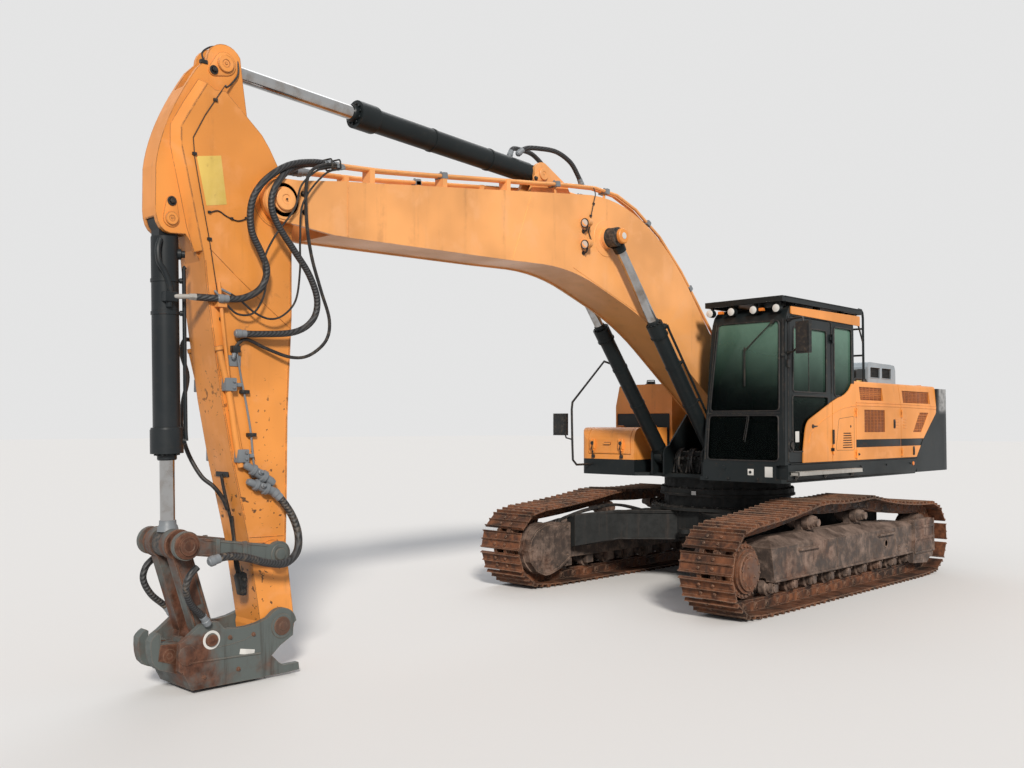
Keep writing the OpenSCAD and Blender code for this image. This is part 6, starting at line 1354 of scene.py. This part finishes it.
def dress_cylinder(name, body, foot, head, barrel, radius, gland, y, material, line=0.0,
        bands=(0.25, 0.55)):
    """Bands, gland bolts, ports and hard line of a cylinder; line is its angle round the barrel."""
    way = heading(foot, head)
    up = Vector((-way.z, 0, way.x)) if abs(way.x) > 0.5 else Vector((way.z, 0, -way.x))
    side = Vector(Y)
    turn = up * math.cos(line) + side * math.sin(line)
    long = (Vector(head) - Vector(foot)).length
    base = Vector((foot[0], y, foot[1]))
    end = base + way * (long * barrel)
    fit = Piece(name + "_fittings", body, material)
    for share in bands:
        p = base + way * (long * barrel * share)
        fit.lathe(p - way * 0.014, way, [(0, radius), (0.002, radius + 0.006),
            (0.026, radius + 0.006), (0.028, radius)], 32)
        fit.lathe(p + turn * (radius + 0.004), turn, [(0, 0.02), (0.018, 0.02), (0.02, 0.012),
            (0.03, 0.012)], 12)
    fit.lathe(end - way * (gland + 0.016), way, [(0, radius + 0.001), (0.003, radius + 0.014),
        (0.016, radius + 0.016)], 32)
    fit.bolt_circle(end, way, radius * 0.82, 10, 0.02)
    fit.lathe(end, way, [(0, radius * 0.72), (0.04, radius * 0.72), (0.048, radius * 0.66),
        (0.048, radius * 0.6)], 28)
    port = base + way * 0.24
    fit.lathe(port + turn * (radius - 0.006), turn, [(0, 0.04), (0.024, 0.04), (0.028, 0.026),
        (0.05, 0.026)], 14)
    far = end - way * (gland * 0.5)
    fit.lathe(far + turn * (radius - 0.002), turn, [(0, 0.034), (0.022, 0.034), (0.026, 0.022),
        (0.04, 0.022)], 14)
    off = turn * (radius + 0.034)
    fit.tube(bend([far + off + turn * 0.004, far + off - way * 0.06,
        base + way * (long * barrel * 0.5) + off, port + off + way * 0.1,
        port + off + way * 0.09 + turn * 0.012], 0.04), 0.014, 10)


def dress_cylinders():
    ram, head = BOOM_RAM_FOOT, BOOM_RAM_HEAD
    for side, s in SIDES:
        dress_cylinder("boom_ram_" + side, "boom_rams", ram, head, 0.6315, 0.084, 0.15, s * 0.366,
            CHARCOAL, line=0.9 * s, bands=(0.42, 0.7))
    dress_cylinder("arm_ram", "arm_ram", ARM_RAM_FOOT, ARM_TOP, 0.6377, 0.1, 0.19, 0.0, CHARCOAL,
        line=-0.9, bands=(0.3, 0.62))
    dress_cylinder("coupler_ram", "coupler_ram", COUPLER_RAM_FOOT, KNEE, 0.7236, 0.094, 0.17, 0.0,
        RAM_GREY, line=0.5, bands=(0.26, 0.4))
    caps = Piece("rod_pin_caps", "boom_rods", ORANGE)
    white = Piece("rod_pin_discs", "boom_rods", WHITE)
    dark = Piece("rod_collars", "boom_rods", CHARCOAL)
    way = heading(ram, head)
    for s in BOTH:
        caps.lathe(on(head, s * 0.453), (0, s, 0), [(0, 0.068), (0.004, 0.078), (0.034, 0.078),
            (0.042, 0.07), (0.042, 0.0)], 28)
        white.lathe(on(head, s * 0.495), (0, s, 0), [(0, 0.034), (0.003, 0.033), (0.004, 0.0)], 20)
        dark.hoop(on(head, s * 0.311), (0, s, 0), 0.07, 0.102, 0.01)
        dark.lathe(Vector(on(head, s * 0.366)) - way * 0.175, way,
            [(0, 0.053), (0.004, 0.062), (0.06, 0.066), (0.085, 0.075)], 28)
    eye = Piece("coupler_rod_collar", "coupler_rod", GREY)
    up = heading(KNEE, COUPLER_RAM_FOOT)
    eye.lathe(Vector(on(KNEE, 0)) + up * 0.085, up, [(0, 0.075), (0.035, 0.068), (0.045, 0.06),
        (0.075, 0.058), (0.078, 0.053)], 28)
    # Hose across to the coupler cylinder and its steel end
    line = Piece("coupler_ram_line", "coupler_ram", RAM_GREY)
    line.tube(curve_through([(7.45, 0.08, 3.175), (7.474, 0.094, 3.1), (7.468, 0.104, 3.01),
        (7.432, 0.112, 2.95), (7.4, 0.118, 2.87), (7.385, 0.118, 2.8)]), 0.02, 10)
    line.box((7.34, 7.43), (0.07, 0.135), (2.735, 2.81), 0.01)
    line.lathe((7.385, 0.1, 2.7), Z, [(0, 0.022), (0.05, 0.026), (0.1, 0.026)], 12)
    steel = Piece("port_pipe", "coupler_ram", ALLOY)
    steel.tube([(7.36, 0.12, 2.775), (7.26, 0.155, 2.78)], 0.018, 12)
    steel.lathe((7.265, 0.153, 2.78), (-1, 0.2, 0), [(0, 0.024), (0.05, 0.027), (0.055, 0.022)], 6)
    hose("port_hose", [(7.215, 0.168, 2.78), (7.17, 0.182, 2.779), (7.12, 0.2, 2.779),
        (7.075, 0.214, 2.779)], 0.026, (("arm", "coupler_ram"), (7.08, 0, 2.779), (7.2, 0, 2.779)),
        fitting=(False, False))


# Coupler and linkage

def dress_coupler():
    ring = Piece("lug_ring", "coupler", WHITE)
    for s in BOTH:
        ring.hoop(on(LINK_PIN, s * COUPLER_SIDE), (0, s, 0), 0.047, 0.066, 0.004, 32)
    ring.prism(rounded([(6.752, 0.2), (6.872, 0.224), (6.866, 0.262), (6.746, 0.238)], 0.004), "y",
        0.23, 0.2312, 0.0004)
    trim = Piece("coupler_trim", "coupler", TOOL)
    rust = Piece("coupler_pins", "coupler", RUSTED)
    for s in BOTH:
        face = s * COUPLER_SIDE
        trim.tube(in_plane(face, [(6.7, 0.203), (6.9, 0.212), (7.1, 0.218),
            (7.262, 0.224)]), 0.008, 8)
        trim.tube(in_plane(face, [(7.06, 0.3), (6.96, 0.305), (6.83, 0.32),
            (6.76, 0.35)]), 0.003, 6)
        trim.prism(arc(7.279, 0.28, 0.07, 20, 340, 14), "y", face - s * 0.001,
            face + s * 0.008, 0.002)
        rust.lathe(on(TIP_PIN, s * 0.24), (0, s, 0), [(0, 0.07), (0.008, 0.066), (0.01, 0.034),
            (0.018, 0.03), (0.02, 0.0)], 28)
        rust.lathe(on(LINK_PIN, s * 0.246), (0, s, 0),
            [(-0.014, 0.044), (0.004, 0.04), (0.006, 0.016), (0.012, 0.0)], 20)
        rust.bolts([(x, face, z) for x, z in ((6.88, 0.12), (7.15, 0.11), (6.76, 0.35),
            (6.95, 0.355))], (0, s, 0), 0.022)
    # Ribs in the channel and the locking cylinder between the plates
    rust.lathe((6.7, 0.0, 0.3), X, [(0, 0.055), (0.26, 0.055), (0.265, 0.03), (0.33, 0.03)], 20)
    rust.lathe((6.7, -0.09, 0.3), Y, [(0, 0.038), (0.18, 0.038)], 16)
    trim.box((6.66, 6.7), (-0.184, 0.184), (0.2, 0.33), 0.004)
    jaws = Piece("jaw_wear_plates", "coupler", RUSTED)
    for s in BOTH:
        for y in (0.049, 0.131):
            jaws.prism([(7.3, 0.35), (7.424, 0.36), (7.432, 0.33), (7.44, 0.25), (7.3, 0.2)], "y",
                       s * y, s * (y + (0.004 if y > 0.1 else -0.004)), 0.001)
        jaws.hoop((7.36, s * 0.13, 0.275), (0, s, 0), 0.02, 0.045, 0.006)
    rocker = Piece("rocker_trim", "rocker", TOOL)
    a, b = Vector(ROCKER_PIN), Vector(KNEE)
    way = (b - a).normalized()
    for s in BOTH:
        face = s * ROCKER_SIDE
        for edge in (0.05, -0.05):
            path = [a + way * 0.12 + left_of(way) * edge, b - way * 0.12 + left_of(way) * edge]
            rocker.tube(in_plane(face, path), 0.006, 6)
        rocker.hoop(on(ROCKER_PIN, face), (0, s, 0), 0.046, 0.074, 0.008)
        rocker.lathe(on(ROCKER_PIN, s * 0.29), (0, s, 0),
            [(0, 0.044), (0.008, 0.04), (0.01, 0.0)], 24)
        for p in (a + way * 0.3, a + way * 0.52):
            rocker.box(about(p.x, 0.016), (face - s * 0.002, face + s * 0.016),
                about(p.y, 0.07), 0.003)
    knee = Piece("knee_pins", "rocker", RUSTED)
    for s in BOTH:
        knee.lathe(on(KNEE, s * ROCKER_SIDE), (0, s, 0),
            [(0, 0.094), (0.01, 0.09), (0.014, 0.066), (0.03, 0.064), (0.034, 0.04), (0.03, 0.036),
            (0.03, 0.0)], 30)
        for d, r in ((0.168, 0.078), (0.19, 0.086), (0.212, 0.08)):
            knee.lathe(on(KNEE, s * d), (0, s, 0), [(0, r - 0.01), (0.004, r), (0.012, r),
                (0.016, r - 0.01)], 30)
    link = Piece("link_trim", "link", RUSTED)
    c, d = Vector(KNEE), Vector(LINK_PIN)
    way = (d - c).normalized()
    norm = left_of(way)
    for s in BOTH:
        for k in BOTH:
            path = c + way * 0.13 + norm * (0.055 * k), d - way * 0.12 + norm * (0.055 * k)
            link.tube(in_plane(s * 0.165, path), 0.007, 6)
        link.hoop(on(KNEE, s * 0.15), (0, s, 0), 0.066, 0.108, 0.017)
        m = c + way * 0.36
        plate = sheet(about(0, 0.035), about(0, 0.1))
        link.prism([tuple(m + norm * u + way * v) for u, v in plate], "y",
            s * 0.164, s * 0.17, 0.002)
    # Big hoses from the lower valves along the rocker, then on from the knee to the coupler
    for name, t in (("near", 1), ("far", -1)):
        hose("rocker_hose_" + name, [(6.6, t * 0.222, 1.38), (6.53, t * 0.245, 1.3),
            (6.462, t * 0.275, 1.18), (6.44, t * 0.315, 1.05), (6.48, t * 0.355, 0.93),
            (6.59, t * 0.374, 0.862), (6.75, t * 0.38, 0.88), (6.93, t * 0.38, 0.935),
            (7.08, t * 0.38, 0.955), (7.2, t * 0.38, 0.93)], 0.029,
            (("arm", "rocker"), (6.46, 0, 1.1), (6.75, 0, 0.9)), MUDDY_HOSE)
        hose("knee_hose_" + name, [(7.262, t * 0.321, 0.895), (7.318, t * 0.321, 0.84),
            (7.34, t * 0.314, 0.75), (7.29, t * 0.29, 0.64), (7.19, t * 0.266, 0.545),
            (7.14, t * 0.256, 0.48)], 0.024, (("link", "coupler"), (7.3, 0, 0.7), (7.17, 0, 0.5)),
            MUDDY_HOSE, fitting=(False, True))
    # Hose hanging on the far side of the arm's front
    Piece("far_front_hose", "arm", RUBBER).tube(curve_through(
        [(7.02, -0.198, 2.5), (7.104, -0.205, 2.5), (7.126, -0.205, 2.4), (7.078, -0.2, 2.228),
        (7.112, -0.2, 2.041), (7.124, -0.195, 1.857), (7.09, -0.16, 1.672), (7.03, -0.07, 1.5),
        (6.965, 0.0, 1.42), (6.9, 0.02, 1.33), (6.868, 0.03, 1.25)]), 0.016, 10)


# Floor and backdrop

def make_floor():
    p = Paint("pale_floor")
    p.surface({"Base Color": p.mix(p.seen(), rgb(0.45, 0.44, 0.43), rgb(0.8, 0.79, 0.78)),
        "Roughness": 0.9, "Specular IOR Level": 0.0})
    mesh = bpy.data.meshes.new("floor")
    far = (-FLOOR_REACH, FLOOR_REACH)
    mesh.from_pydata([(x, y, 0) for x, y in sheet(far, far)], [], [(0, 1, 2, 3)])
    mesh.materials.append(p.material)
    put("floor", mesh)


def set_world():
    """A pale backdrop to look at, and a dimmer blue fill for the light."""
    world = bpy.context.scene.world = bpy.data.worlds.new("studio")
    p = Paint("studio", world)
    fill = p.node("Background", None, {0: rgb(0.9, 0.94, 1.0), 1: 0.4})
    back = p.node("Background", None, {0: rgb(0.78, 0.78, 0.78), 1: 1.0})
    p.node("OutputWorld", None, {"Surface": p.node("MixShader", None,
        {0: p.seen(), 1: fill, 2: back})})


bpy.context.scene.view_settings.view_transform = "Standard"
set_camera()
set_world()
make_floor()
far_lamp("key", (0.62, 0.78, 0.55), 3.4, 9, (1.0, 0.95, 0.88))
far_lamp("rim", (-0.6, -0.5, 0.7), 0.6, 40, (0.95, 0.97, 1.0))
finish_solids()
dress_tracks()
dress_carbody()
dress_house()
dress_cab()
dress_boom()
run_boom_hoses()
dress_foot()
dress_arm()
dress_cylinders()
dress_coupler()
for piece in Piece.drawn:
    piece.make()
